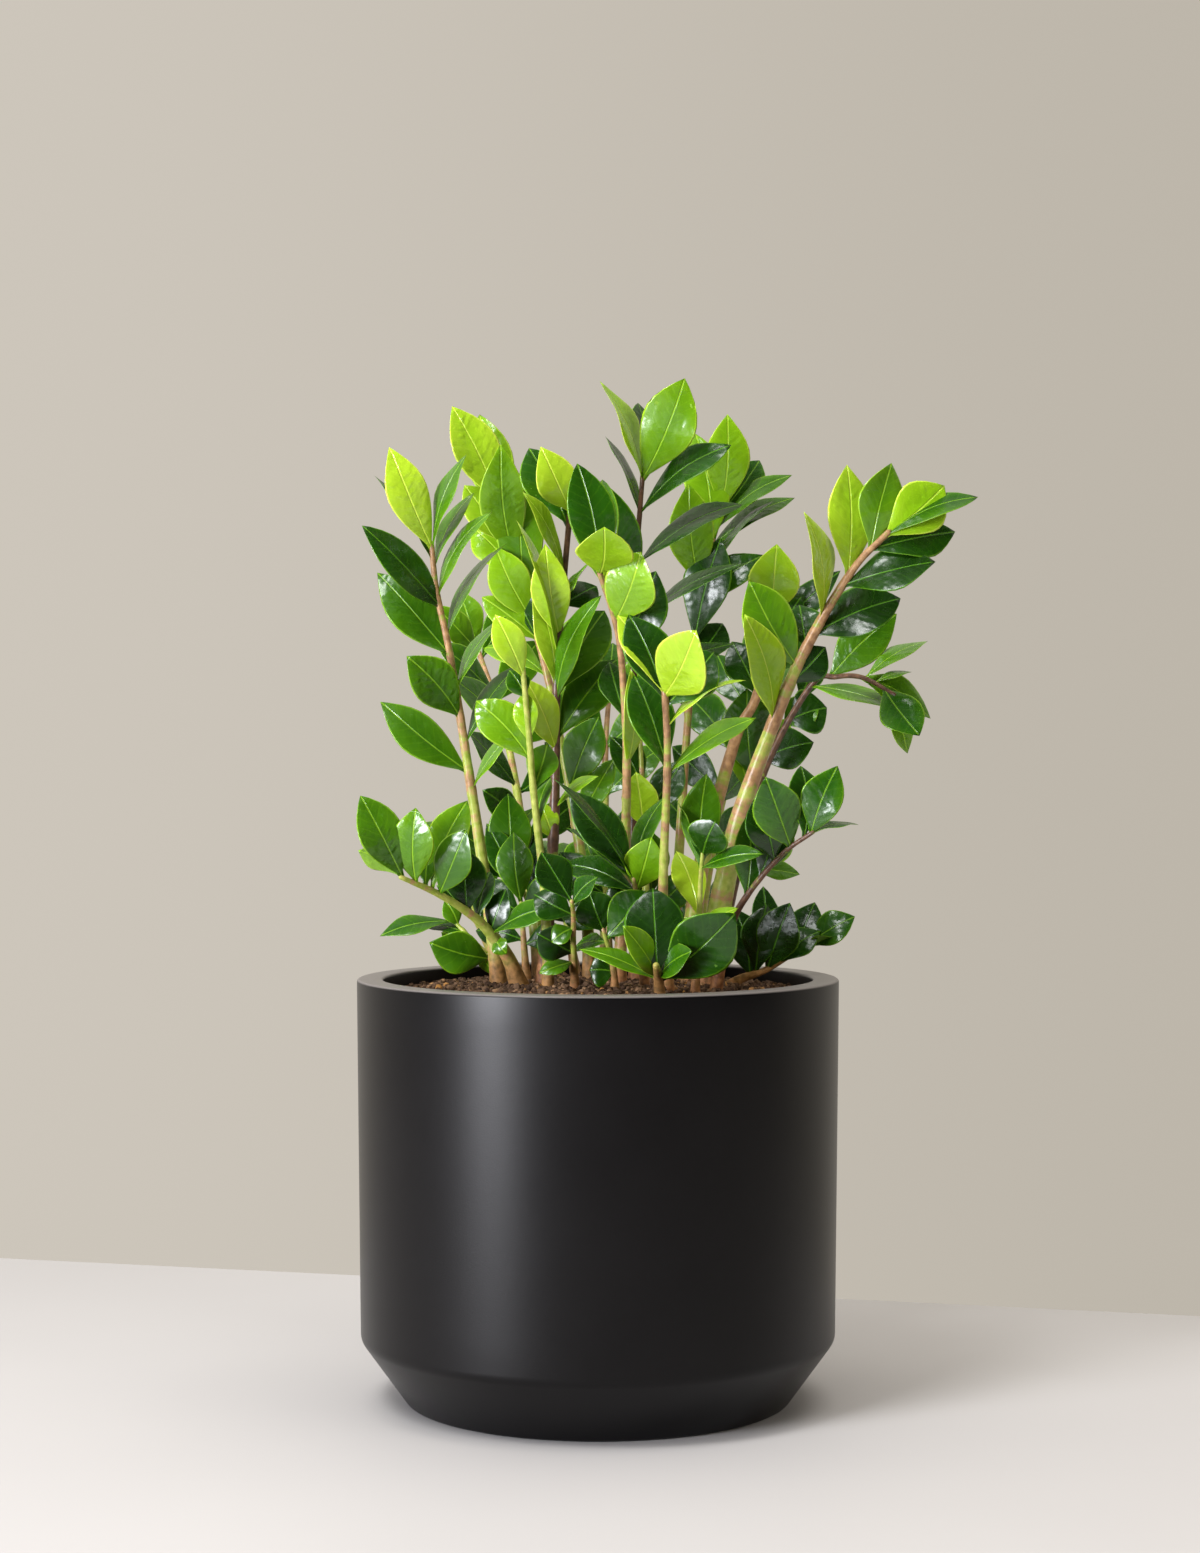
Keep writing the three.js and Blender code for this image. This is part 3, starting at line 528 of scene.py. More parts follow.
@dataclass
class Planter:
    """The round planter: a slightly tapering wall on a narrower foot, with a broad flat rim."""

    wall: float = 16.5 * MM
    taper: float = 2.5 * MM
    foot_radius: float = 121 * MM
    chamfer: float = 40 * MM
    floor: float = 14 * MM
    sides: int = 192

    def inner_radius(self, height: float) -> float:
        """The radius inside the wall at a height over the chamfer."""
        return POT_RADIUS - self.wall - self.taper * (POT_TOP - height) / (POT_TOP - self.chamfer)

    def build(self) -> bpy.types.Object:
        """Makes the planter.

        Returns:
            The planter's object.
        """
        inside_foot = self.foot_radius - self.wall / 2
        profile = rounded([
            (0.0, 0.0, 0.0),
            (self.foot_radius, 0.0, 2.5 * MM),
            (POT_RADIUS - self.taper, self.chamfer, 3.5 * MM),
            (POT_RADIUS, POT_TOP, 2.2 * MM),
            (POT_RADIUS - self.wall, POT_TOP, 2.0 * MM),
            (self.inner_radius(self.chamfer), self.chamfer, 3.0 * MM),
            (inside_foot, self.floor, 3.0 * MM),
            (0.0, self.floor, 0.0),
        ])
        piece = make_piece("planter_body", turned(self.filled(profile), self.sides), [MattGlaze().make()])
        declare(piece, ("planter",))
        return piece

    @staticmethod
    def filled(profile: np.ndarray, longest: float = 20 * MM) -> np.ndarray:
        """Adds evenly spaced points to a profile's long stretches, so that its faces stay compact."""
        steps = np.ceil(np.linalg.norm(np.diff(profile, axis=0), axis=1) / longest).astype(int)
        at = np.concatenate([np.arange(n) / max(n, 1) + i for i, n in enumerate(steps)] + [[len(steps)]])
        index = np.arange(len(profile))
        return np.stack([np.interp(at, index, profile[:, k]) for k in (0, 1)], axis=1)


def lumps(x: np.ndarray, y: np.ndarray, rng: np.random.Generator, waves: int, size: float) -> np.ndarray:
    """Uneven ground: the mean of many waves that run in chance directions with chance starts.

    Args:
        x: places to the right, in metres.
        y: places to the back, in metres.
        rng: the source of chance.
        waves: how many waves are added.
        size: the middle length of a wave, in metres.

    Returns:
        Heights of about -1 to 1.
    """
    heading = rng.uniform(0.0, 2.0 * math.pi, waves)
    number = 2.0 * math.pi / (size * rng.uniform(0.6, 1.7, waves))
    start = rng.uniform(0.0, 2.0 * math.pi, waves)
    phase = x[..., None] * np.cos(heading) * number + y[..., None] * np.sin(heading) * number + start
    return np.sin(phase).sum(axis=-1) / math.sqrt(waves)


@dataclass
class Soil:
    """The bed of potting mix: a slightly domed, uneven surface with loose crumbs and chips on it."""

    planter: Planter
    gap: float = 0.3 * MM
    crown: float = 6.0 * MM
    rings: int = 70
    sides: int = 220
    crumbs: int = 5200
    crumb_margin: float = 4.0 * MM
    chip_share: float = 0.75
    fade_reach: float = 3.0 * MM
    wall_stop: float = 3.0 * MM

    def height(self, x: np.ndarray, y: np.ndarray) -> np.ndarray:
        """The height of the smooth dome: its crown less the square of the share from the middle."""
        share = np.hypot(x, y) / (POT_RADIUS - self.planter.wall)
        return SOIL_EDGE_Z + self.crown * (1.0 - share ** 2)

    def build(self) -> list[bpy.types.Object]:
        """Makes the bed and its crumbs.

        Returns:
            Both objects.
        """
        rng = np.random.default_rng(SEED)
        finish = PottingMix().make()
        bed = make_piece("soil_bed", self.bed(rng), [finish])
        declare(bed, ("soil",))
        loose = make_piece("soil_crumbs", self.loose(rng), [finish])
        declare(loose)
        return [bed, loose]

    def bed(self, rng: np.random.Generator) -> Surface:
        """The closed body of soil: a flat bottom and a wall in the planter, and a lumpy top.

        The top is the dome plus lumps of two sizes, which fade out in the last stretch by the wall.
        """
        edge = self.planter.inner_radius(SOIL_EDGE_Z) - self.gap
        low = self.planter.floor + self.gap
        side = np.array([
            [0.0, low],
            [self.planter.foot_radius - self.planter.wall / 2 - self.gap, low],
            [self.planter.inner_radius(self.planter.chamfer) - self.gap, self.planter.chamfer + self.gap],
            [edge, SOIL_EDGE_Z - self.wall_stop],
        ])
        across = np.linspace(edge, 0.0, self.rings)
        top = np.stack([across, np.full(self.rings, SOIL_EDGE_Z)], axis=1)
        surface = turned(np.concatenate([side, top]), self.sides)
        points = surface.points
        on_top = points[:, 2] > SOIL_EDGE_Z - 1 * MM
        x, y = points[on_top, 0], points[on_top, 1]
        fade = np.clip((edge - np.hypot(x, y)) / self.fade_reach, 0.0, 1.0)
        rough = 1.1 * MM * lumps(x, y, rng, 24, 22 * MM) + 0.6 * MM * lumps(x, y, rng, 40, 5 * MM)
        points[on_top, 2] = self.height(x, y) + rough * fade
        return surface

    def loose(self, rng: np.random.Generator) -> Surface:
        """Crumbs: twelve-cornered lumps, stretched and turned by chance, half sunk in the bed."""
        ratio = (1.0 + math.sqrt(5.0)) / 2.0
        ends = [(0, a, b * ratio) for a in (-1, 1) for b in (-1, 1)]
        corners = unit(np.array([np.roll(end, k) for k in range(3) for end in ends], dtype=float))
        gaps = np.linalg.norm(corners[:, None] - corners[None], axis=-1)
        # an edge between neighbours is 1.05 long and the next distance is 1.70
        near = gaps < 1.2
        trios = [(i, j, k) for i in range(12) for j in range(i) for k in range(j)
                 if near[i, j] and near[j, k] and near[i, k]]
        faces = np.array(trios)
        centre = corners[faces].mean(axis=1)
        first, second, third = (corners[faces[:, n]] for n in range(3))
        normal = np.cross(second - first, third - first)
        inward = (normal * centre).sum(axis=1) < 0
        faces[inward] = faces[inward][:, ::-1]
        count = self.crumbs
        reach = POT_RADIUS - self.planter.wall - self.crumb_margin
        radius = reach * np.sqrt(rng.uniform(0.0, 1.0, count))
        turn = rng.uniform(0.0, 2.0 * math.pi, count)
        size = 0.7 * MM + 1.9 * MM * rng.uniform(0.0, 1.0, count) ** 3.5
        stretch = size[:, None] * rng.uniform(0.6, 1.3, (count, 3))
        spin = rng.uniform(0.0, 2.0 * math.pi, count)[:, None]
        knobs = 1.0 + rng.uniform(-0.22, 0.22, (count, 12, 1))
        local = corners[None] * knobs * stretch[:, None, :]
        x, y = radius * np.cos(turn), radius * np.sin(turn)
        points = np.stack([
            local[..., 0] * np.cos(spin) - local[..., 1] * np.sin(spin) + x[:, None],
            local[..., 0] * np.sin(spin) + local[..., 1] * np.cos(spin) + y[:, None],
            local[..., 2] + (self.height(x, y) + 0.3 * size)[:, None],
        ], axis=-1).reshape(-1, 3)
        blocks = (faces[None] + 12 * np.arange(count)[:, None, None]).reshape(-1, 3)
        chance = np.repeat(rng.uniform(0.0, 1.0, count), 12)
        trait = np.stack([np.full_like(chance, self.chip_share), chance, 0.0 * chance], axis=1)
        return Surface(points, [blocks], [0], np.zeros_like(points), trait)


# ---------------------------------------------------------------- fronds
@dataclass(frozen=True)
class DrawnFrond:
    """A frond whose leaflets are each given.

    Attributes:
        name: the frond's name, which its CAD node has too.
        stalk: points x, y and height over the soil's edge, in mm, from the soil to the tip.
        radii: of the stalk at its foot, halfway and at its tip, in mm.
        dark: how purple-brown the stalk is, from 0 to 1.
        leaflets: place along the stalk, lean in front view in degrees from +X, how far it points to
            the front, how far its face is turned about its length, length, width, and age, which is
            1 for young lime and 0 for old dark green.
    """

    name: str
    stalk: tuple[tuple[float, float, float], ...]
    radii: tuple[float, float, float]
    dark: float
    leaflets: tuple[tuple[float, ...], ...]


@dataclass(frozen=True)
class PairedFrond:
    """A frond that leans away from the front, with even pairs of leaflets and one at the tip.

    Attributes:
        name: the frond's name, which its CAD node has too.
        stalk: points x, y and height over the soil's edge, in mm, from the soil to the tip.
        radii: of the stalk at its foot, halfway and at its tip, in mm.
        pairs: how many pairs of leaflets it has.
        first_pair: place of the lowest pair along the stalk.
        length: of its leaflets, in mm.
        width: of its leaflets, in mm.
        dark: how purple-brown the stalk is, from 0 to 1.
        age: of its leaflets.
    """

    name: str
    stalk: tuple[tuple[float, float, float], ...]
    radii: tuple[float, float, float]
    pairs: int
    first_pair: float
    length: float
    width: float
    dark: float = 0.35
    age: float = 0.25


# The same fronds as the part's, with each stalk's darkness and each leaflet's age beside them.
DRAWN_FRONDS: tuple[DrawnFrond, ...] = (
    DrawnFrond(
        "frond_left_tall",
        stalk=((-63, 18, 0), (-72, 13, 70), (-82, 7, 138),
               (-93, -2, 210), (-102, -8, 255), (-105, -12, 285)),
        radii=(4.8, 3, 1.6),
        dark=0.35,
        leaflets=(
            (1.0, 110, 12, 20, 70, 27, 1.0),
            (0.96, 126, 8, 65, 66, 26, 0.15),
            (0.86, 130, 14, 35, 72, 30, 0.1),
            (0.75, 130, 16, 12, 70, 31, 0.3),
            (0.61, 130, 16, 5, 57, 30, 0.3),
            (0.49, 140, 16, 15, 72, 29, 0.35),
            (0.99, 72, 8, -60, 65, 25, 0.4),
            (0.94, 65, 6, -64, 56, 24, 0.4),
            (0.88, 62, 6, -62, 65, 26, 0.4),
            (0.79, 63, 6, -64, 72, 26, 0.4),
            (0.67, 61, 6, -64, 59, 24, 0.35),
            (0.55, 60, 6, -64, 62, 24, 0.3),
            (0.45, 53, 4, -70, 51, 20, 0.5),
        ),
    ),
    DrawnFrond(
        "frond_back_left",
        stalk=((-5, 55, 0), (-10, 61, 76), (-28, 73, 178),
               (-39, 80, 225), (-51, 86, 265), (-67, 95, 323)),
        radii=(4.4, 2.7, 1.6),
        dark=0.3,
        leaflets=(
            (1.0, 115, 6, 12, 74, 33, 0.85),
            (0.95, 103, 10, 0, 76, 32, 0.65),
            (0.86, 97, 16, -5, 84, 31, 0.5),
            (0.79, 93, 20, -8, 81, 31, 0.5),
            (0.9, 127, -8, 15, 51, 28, 0.85),
            (0.83, 131, -6, 12, 52, 28, 0.75),
            (0.74, 117, -4, 8, 55, 28, 0.7),
            (0.7, 114, 10, -10, 41, 30, 0.2),
            (0.7, 143, -12, 20, 47, 20, 0.6),
            (0.62, 149, -14, 45, 57, 22, 0.6),
            (0.39, 69, 10, -8, 55, 29, 0.3),
            (0.32, 61, 6, -25, 51, 20, 0.4),
        ),
    ),
    DrawnFrond(
        "frond_centre_left",
        stalk=((-35, 0, 0), (-28, -6, 104), (-26, -14, 196),
               (-23, -19, 242), (-17, -26, 307), (-14, -28, 326)),
        radii=(4.8, 2.7, 1.6),
        dark=0.85,
        leaflets=(
            (0.47, 111, 20, 18, 55, 24, 1.0),
            (0.59, 101, 22, 38, 66, 22, 1.0),
            (0.69, 98, 14, 5, 61, 25, 0.9),
            (0.65, 104, 30, 62, 91, 22, 0.95),
            (0.8, 113, 18, 58, 65, 26, 0.8),
            (0.9, 116, 6, 8, 57, 34, 0.2),
            (0.93, 114, 20, 10, 46, 27, 1.0),
            (0.49, 55, 0, -18, 67, 31, 0.35),
            (0.57, 68, 12, -42, 75, 27, 0.3),
            (0.58, 61, -4, -12, 65, 34, 0.25),
            (0.76, 51, 10, -62, 30, 18, 0.5),
            (0.75, 33, -6, -20, 28, 26, 0.05),
            (0.36, 37, 14, -60, 38, 16, 0.7),
            (0.3, 110, 28, 5, 25, 16, 0.85),
        ),
    ),
    DrawnFrond(
        "frond_thin_left",
        stalk=((-31, -22, 0), (-33, -29, 60), (-40, -43, 129), (-42, -50, 157), (-46, -62, 204)),
        radii=(3.5, 2.4, 1.6),
        dark=0.0,
        leaflets=(
            (0.97, 112, 10, 16, 43, 20, 1.0),
            (0.77, 95, 18, 0, 33, 16, 0.7),
            (0.72, 132, -10, 12, 50, 27, 0.5),
            (0.63, 75, -8, -10, 33, 20, 0.4),
            (0.91, 120, -16, 10, 20, 16, 0.2),
            (0.51, 80, -6, -40, 36, 16, 0.4),
        ),
    ),
    DrawnFrond(
        "frond_centre",
        stalk=((13, 8, 0), (17, -6, 85), (18, -22, 148),
               (16, -34, 191), (12, -45, 228), (0, -58, 266)),
        radii=(4.4, 2.7, 1.6),
        dark=0.45,
        leaflets=(
            (1.0, 84, 50, 0, 47, 36, 0.9),
            (0.87, 69, 42, -6, 51, 35, 0.65),
            (0.8, 67, -6, -12, 54, 34, 0.1),
            (0.95, 80, -8, -10, 33, 22, 0.85),
            (0.98, 102, -10, 5, 70, 30, 0.2),
            (0.95, 91, -22, -5, 85, 28, 0.3),
            (0.53, 86, 12, 35, 65, 20, 0.8),
            (0.64, 104, -12, 20, 43, 22, 0.05),
        ),
    ),
    DrawnFrond(
        "frond_tall",
        stalk=((25, 38, 0), (23, 37, 83), (23, 34, 213), (25, 32, 278), (29, 30, 334)),
        radii=(4.6, 2.6, 1.5),
        dark=0.9,
        leaflets=(
            (1.0, 67, 10, -6, 72, 37, 0.6),
            (0.99, 91, -12, 45, 59, 28, 0.1),
            (0.99, 112, 6, 62, 70, 28, 0.85),
            (0.92, 113, -4, 64, 59, 26, 0.1),
            (0.92, 39, 2, -58, 74, 29, 0.15),
            (0.82, 37, 6, -62, 81, 28, 0.15),
            (0.7, 33, 8, -72, 85, 24, 0.1),
            (0.58, 25, 0, -62, 75, 24, 0.1),
            (0.77, 107, 2, 15, 73, 30, 0.15),
        ),
    ),
    DrawnFrond(
        "frond_back_right",
        stalk=((51, 72, 0), (52, 77, 56), (60, 93, 175),
               (64, 101, 222), (69, 108, 263), (84, 118, 320)),
        radii=(4.2, 2.6, 1.5),
        dark=0.4,
        leaflets=(
            (1.0, 87, 4, -8, 67, 30, 0.6),
            (0.92, 98, 12, 5, 76, 32, 0.6),
            (0.82, 97, 16, 8, 74, 33, 0.5),
            (0.99, 55, 2, -12, 48, 31, 0.15),
            (0.95, 39, -2, -60, 63, 23, 0.35),
            (0.91, 36, 0, -62, 70, 23, 0.25),
            (0.85, 49, -6, -66, 69, 21, 0.1),
            (0.7, 76, 18, -6, 74, 33, 0.1),
            (0.77, 43, -4, -30, 59, 25, 0.2),
            (0.66, 53, -10, -20, 38, 26, 0.05),
            (0.56, 113, -8, 10, 55, 28, 0.1),
        ),
    ),
    DrawnFrond(
        "frond_front_short",
        stalk=((43, -45, 0), (40, -56, 62), (42, -84, 147), (40, -100, 189)),
        radii=(4, 2.7, 1.9),
        dark=0.58,
        leaflets=(
            (1.0, 65, 38, -12, 62, 37, 0.95),
            (1.0, 121, 10, 45, 56, 24, 0.9),
            (0.96, 110, -6, 22, 57, 29, 0.1),
            (0.74, 107, 4, 28, 63, 31, 0.15),
            (0.88, 38, 5, -68, 56, 20, 0.9),
            (0.73, 34, 10, -60, 64, 25, 0.5),
            (0.95, 49, -14, -15, 44, 32, 0.15),
        ),
    ),
    DrawnFrond(
        "frond_right_big",
        stalk=((67, 5, 0), (82, -3, 78), (93, -10, 123),
               (125, -25, 207), (157, -38, 264), (180, -45, 289)),
        radii=(9, 4.7, 1.8),
        dark=0.4,
        leaflets=(
            (0.56, 108, 15, 42, 78, 30, 0.8),
            (0.68, 120, 26, 10, 62, 36, 0.45),
            (0.78, 98, 12, 50, 72, 30, 0.9),
            (0.88, 89, 10, 18, 71, 32, 0.85),
            (0.95, 75, -6, 10, 55, 30, 0.5),
            (0.99, 40, 8, -8, 50, 34, 0.75),
            (1.0, 26, -6, -58, 63, 25, 0.3),
            (0.95, 12, 2, -38, 56, 30, 0.1),
            (0.86, 16, 6, -32, 60, 36, 0.05),
            (0.75, 23, 8, -28, 60, 38, 0.0),
            (0.64, 47, -4, -10, 33, 24, 0),
            (0.72, 96, -14, 10, 32, 26, 0.1),
        ),
    ),
    DrawnFrond(
        "frond_right_arching",
        stalk=((74, 42, 0), (89, 45, 70), (109, 50, 142), (139, 45, 197),
               (154, 35, 202), (170, 20, 201), (189, 0, 189)),
        radii=(4.5, 2.6, 1.2),
        dark=0.8,
        leaflets=(
            (0.8, 44, -6, -12, 59, 30, 0.3),
            (0.9, 35, -2, -56, 51, 23, 0.4),
            (0.74, -16, 12, -48, 65, 25, 0.45),
            (0.87, -26, 14, -38, 56, 26, 0.45),
            (0.96, -57, 22, 0, 45, 28, 0.25),
            (0.99, -74, 0, -20, 41, 18, 0.5),
            (0.93, 19, -20, -60, 26, 14, 0.4),
        ),
    ),
    DrawnFrond(
        "frond_right_inner",
        stalk=((59, 28, 0), (65, 34, 70), (89, 47, 160), (104, 53, 191), (116, 62, 246)),
        radii=(7, 4.4, 2),
        dark=0.5,
        leaflets=(
            (1.0, 89, 14, -5, 50, 34, 0.85),
            (0.9, 100, 10, 30, 47, 24, 0.8),
            (0.84, 63, -10, -15, 55, 28, 0.1),
            (0.78, 115, -10, 15, 41, 26, 0.1),
            (0.93, 46, -12, -25, 65, 22, 0.05),
        ),
    ),
    DrawnFrond(
        "frond_right_back",
        stalk=((72, 60, 0), (80, 63, 56), (102, 70, 137), (136, 76, 190)),
        radii=(4, 2.5, 1.4),
        dark=0.6,
        leaflets=(
            (0.69, 94, -6, 6, 59, 36, 0.25),
            (0.77, 56, 14, -10, 29, 20, 0.75),
            (0.75, 21, 0, -20, 37, 30, 0.1),
            (0.89, 32, 8, -12, 27, 24, 0.35),
            (0.9, 20, -10, -10, 29, 32, 0.05),
            (0.99, 62, -2, -20, 29, 18, 0.1),
            (0.64, 106, -14, 25, 34, 16, 0.6),
        ),
    ),
    DrawnFrond(
        "frond_right_low",
        stalk=((73, -22, 0), (82, -34, 42), (93, -46, 65), (113, -62, 90), (131, -75, 104)),
        radii=(3.6, 2, 1.2),
        dark=0.8,
        leaflets=(
            (1.0, 71, 0, -18, 44, 26, 0.2),
            (0.94, 90, 5, 18, 45, 25, 0.15),
            (0.86, 111, 12, 10, 50, 30, 0.2),
            (0.99, 16, 0, -76, 31, 15, 0.2),
            (0.75, 109, 2, 8, 42, 27, 0.05),
            (0.52, 87, 14, 10, 52, 23, 0.25),
            (0.63, 71, -12, -10, 45, 26, 0.0),
        ),
    ),
    DrawnFrond(
        "frond_right_lowest",
        stalk=((80, 22, 0), (91, 23, 7), (106, 25, 12), (119, 27, 19), (136, 30, 29)),
        radii=(3, 2, 1.2),
        dark=0.3,
        leaflets=(
            (1.0, 35, 6, -22, 36, 24, 0.2),
            (0.84, 69, 2, -15, 36, 23, 0.1),
            (0.51, 73, 8, -10, 48, 30, 0.03),
            (0.62, 38, 16, -30, 35, 22, 0.05),
            (0.38, 82, -10, -10, 45, 26, 0),
            (0.32, 102, 6, 10, 44, 28, 0),
            (0.92, 16, 10, -120, 26, 16, 0.3),
            (0.53, 93, -14, 10, 57, 20, 0),
        ),
    ),
    DrawnFrond(
        "frond_left_low",
        stalk=((-48, -5, 0), (-57, -12, 24), (-69, -22, 41),
               (-80, -31, 52), (-99, -45, 65), (-121, -62, 76)),
        radii=(5.5, 2.8, 1.4),
        dark=0.25,
        leaflets=(
            (0.99, 114, 5, 20, 57, 30, 0.3),
            (1.0, 145, 16, 140, 32, 18, 0.5),
            (0.9, 89, 12, 0, 49, 27, 0.45),
            (0.84, 82, -8, -8, 44, 25, 0.25),
            (0.75, 67, 18, -12, 50, 26, 0.3),
            (0.56, 92, 5, 0, 40, 28, 0.05),
            (0.8, 70, -14, -12, 60, 25, 0.5),
            (0.49, 75, -5, -50, 32, 19, 0.15),
            (0.38, 72, 2, -20, 30, 18, 0.05),
            (0.37, 28, 44, -52, 56, 19, 0.3),
            (0.34, -50, 20, 0, 14, 12, 0.4),
        ),
    ),
    DrawnFrond(
        "frond_left_lowest",
        stalk=((-58, 38, 0), (-70, 42, 19), (-82, 46, 31), (-93, 50, 42), (-97, 52, 48)),
        radii=(2.4, 1.6, 1.1),
        dark=0.1,
        leaflets=(
            (0.9, 185, 5, 62, 50, 18, 0.3),
            (0.73, 170, 0, 50, 30, 14, 0.2),
            (0.36, 164, 8, 0, 42, 29, 0.35),
            (0.62, 167, -8, 20, 23, 16, 0.5),
            (0.85, 117, -5, 20, 18, 14, 0.4),
            (0.58, -58, 12, 30, 25, 13, 0.6),
        ),
    ),
    DrawnFrond(
        "frond_left_middle",
        stalk=((-33, 46, 0), (-36, 51, 34), (-45, 55, 55), (-56, 59, 71), (-66, 62, 80)),
        radii=(3.2, 2, 1.3),
        dark=0.3,
        leaflets=(
            (1.0, 141, 0, 42, 48, 22, 0.25),
            (0.98, 60, 10, -60, 45, 19, 0.45),
            (0.87, 92, -6, 0, 54, 29, 0.3),
            (0.78, 74, 6, -35, 36, 21, 0.08),
            (0.65, 71, 6, -48, 39, 19, 0.08),
            (0.82, 147, 6, 30, 42, 22, 0.05),
            (0.71, 117, -8, 20, 52, 20, 0.1),
        ),
    ),
    DrawnFrond(
        "frond_centre_low",
        stalk=((30, -15, 0), (26, -29, 42), (24, -41, 64), (22, -48, 75)),
        radii=(3, 2, 1.5),
        dark=0.5,
        leaflets=(
            (1.0, 124, 4, 68, 82, 18, 0.1),
            (0.98, 136, 10, 58, 53, 20, 0.2),
            (0.94, 123, -12, 20, 71, 29, 0.0),
            (0.86, 158, -8, 42, 57, 22, 0.05),
            (0.88, 75, 18, 0, 40, 26, 0.55),
            (0.97, 73, -4, -52, 60, 21, 0.3),
            (0.79, 188, 8, 25, 23, 22, 0.05),
        ),
    ),
    DrawnFrond(
        "frond_front_right",
        stalk=((38, -66, 0), (37, -73, 14), (35, -92, 24)),
        radii=(3.2, 2.6, 2),
        dark=0.3,
        leaflets=(
            (0.4, 43, 10, -6, 65, 39, 0.15),
            (0.69, 93, 0, 0, 52, 37, 0.0),
            (0.45, 124, 15, 30, 45, 22, 0.55),
            (0.4, 153, 10, 52, 52, 17, 0.45),
            (0.5, 39, 30, -45, 36, 22, 0.3),
        ),
    ),
    DrawnFrond(
        "frond_front_left",
        stalk=((11, -42, 0), (9, -47, 23), (5, -52, 37), (3, -54, 44)),
        radii=(2.4, 1.8, 1.2),
        dark=0.4,
        leaflets=(
            (0.85, 50, -5, -12, 39, 28, 0.2),
            (0.8, 189, -25, 50, 26, 17, 0.25),
            (0.95, 110, -4, 5, 27, 27, 0.0),
            (0.37, 176, 14, 10, 15, 22, 0.1),
        ),
    ),
    DrawnFrond(
        "frond_left_inner",
        stalk=((-14, -40, 0), (-15, -52, 30), (-15, -68, 53), (-16, -77, 62)),
        radii=(2.8, 1.8, 1.2),
        dark=0.5,
        leaflets=(
            (0.95, 49, 4, -40, 24, 18, 0.12),
            (0.98, 122, 4, 20, 36, 26, 0.0),
            (0.42, 150, 12, 10, 28, 24, 0.0),
            (0.68, 210, 22, 30, 16, 14, 0.3),
            (0.34, 196, 12, 40, 24, 13, 0.35),
            (0.82, 152, 2, 15, 28, 24, 0.02),
        ),
    ),
    DrawnFrond(
        "frond_right_front",
        stalk=((60, -45, 0), (62, -52, 43), (63, -60, 74), (64, -66, 91)),
        radii=(2.6, 1.8, 1.2),
        dark=0.4,
        leaflets=(
            (1.0, 71, 22, -8, 27, 27, 0.12),
            (0.98, 117, 4, 68, 37, 16, 0.4),
            (0.88, 87, -14, -8, 59, 25, 0.3),
            (0.94, 89, -6, 20, 34, 22, 0.05),
            (0.89, 22, 25, -60, 45, 17, 0.25),
            (0.54, 107, -6, 12, 47, 22, 1.0),
            (0.34, 113, 12, 0, 24, 18, 0.9),
            (0.49, 25, 20, -55, 27, 15, 0.7),
        ),
    ),
    DrawnFrond(
        "frond_low_left",
        stalk=((-46, 46, 0), (-48, 44, 26), (-50, 40, 56)),
        radii=(2.8, 2, 1.3),
        dark=0.4,
        leaflets=(
            (1.0, 96, -4, 0, 46, 25, 0.3),
            (0.86, 146, -8, 12, 38, 23, 0.12),
            (0.8, 44, 14, -12, 44, 24, 0.2),
            (0.55, 168, -2, 20, 34, 20, 0.08),
            (0.5, 16, 8, -20, 32, 20, 0.15),
        ),
    ),
    DrawnFrond(
        "frond_low_centre",
        stalk=((9, 48, 0), (7, 47, 34), (4, 46, 70)),
        radii=(2.8, 2, 1.3),
        dark=0.5,
        leaflets=(
            (1.0, 88, -4, 0, 46, 25, 0.3),
            (0.86, 138, -8, 12, 44, 24, 0.12),
            (0.8, 38, -14, -12, 34, 22, 0.2),
            (0.55, 162, -2, 20, 34, 20, 0.08),
            (0.5, 22, -10, -20, 24, 16, 0.15),
        ),
    ),
    DrawnFrond(
        "frond_low_right",
        stalk=((36, 62, 0), (36, 61, 30), (35, 60, 60)),
        radii=(2.8, 2, 1.3),
        dark=0.5,
        leaflets=(
            (1.0, 92, -4, 0, 44, 25, 0.3),
            (0.86, 142, -8, 12, 42, 24, 0.12),
            (0.8, 46, -6, -12, 36, 23, 0.2),
            (0.55, 166, -2, 20, 34, 20, 0.08),
            (0.5, 16, 8, -20, 32, 20, 0.15),
        ),
    ),
    DrawnFrond(
        "frond_middle",
        stalk=((33, 20, 0), (31, 20, 58), (28, 19, 142), (27, 18, 164)),
        radii=(3.4, 2.2, 1.4),
        dark=0.2,
        leaflets=(
            (0.64, 98, 10, -5, 39, 24, 0.85),
            (0.98, 97, -6, 20, 30, 20, 0.4),
            (0.68, 56, -8, -15, 44, 24, 0.05),
            (0.78, 118, 10, 20, 41, 22, 0.1),
        ),
    ),
)

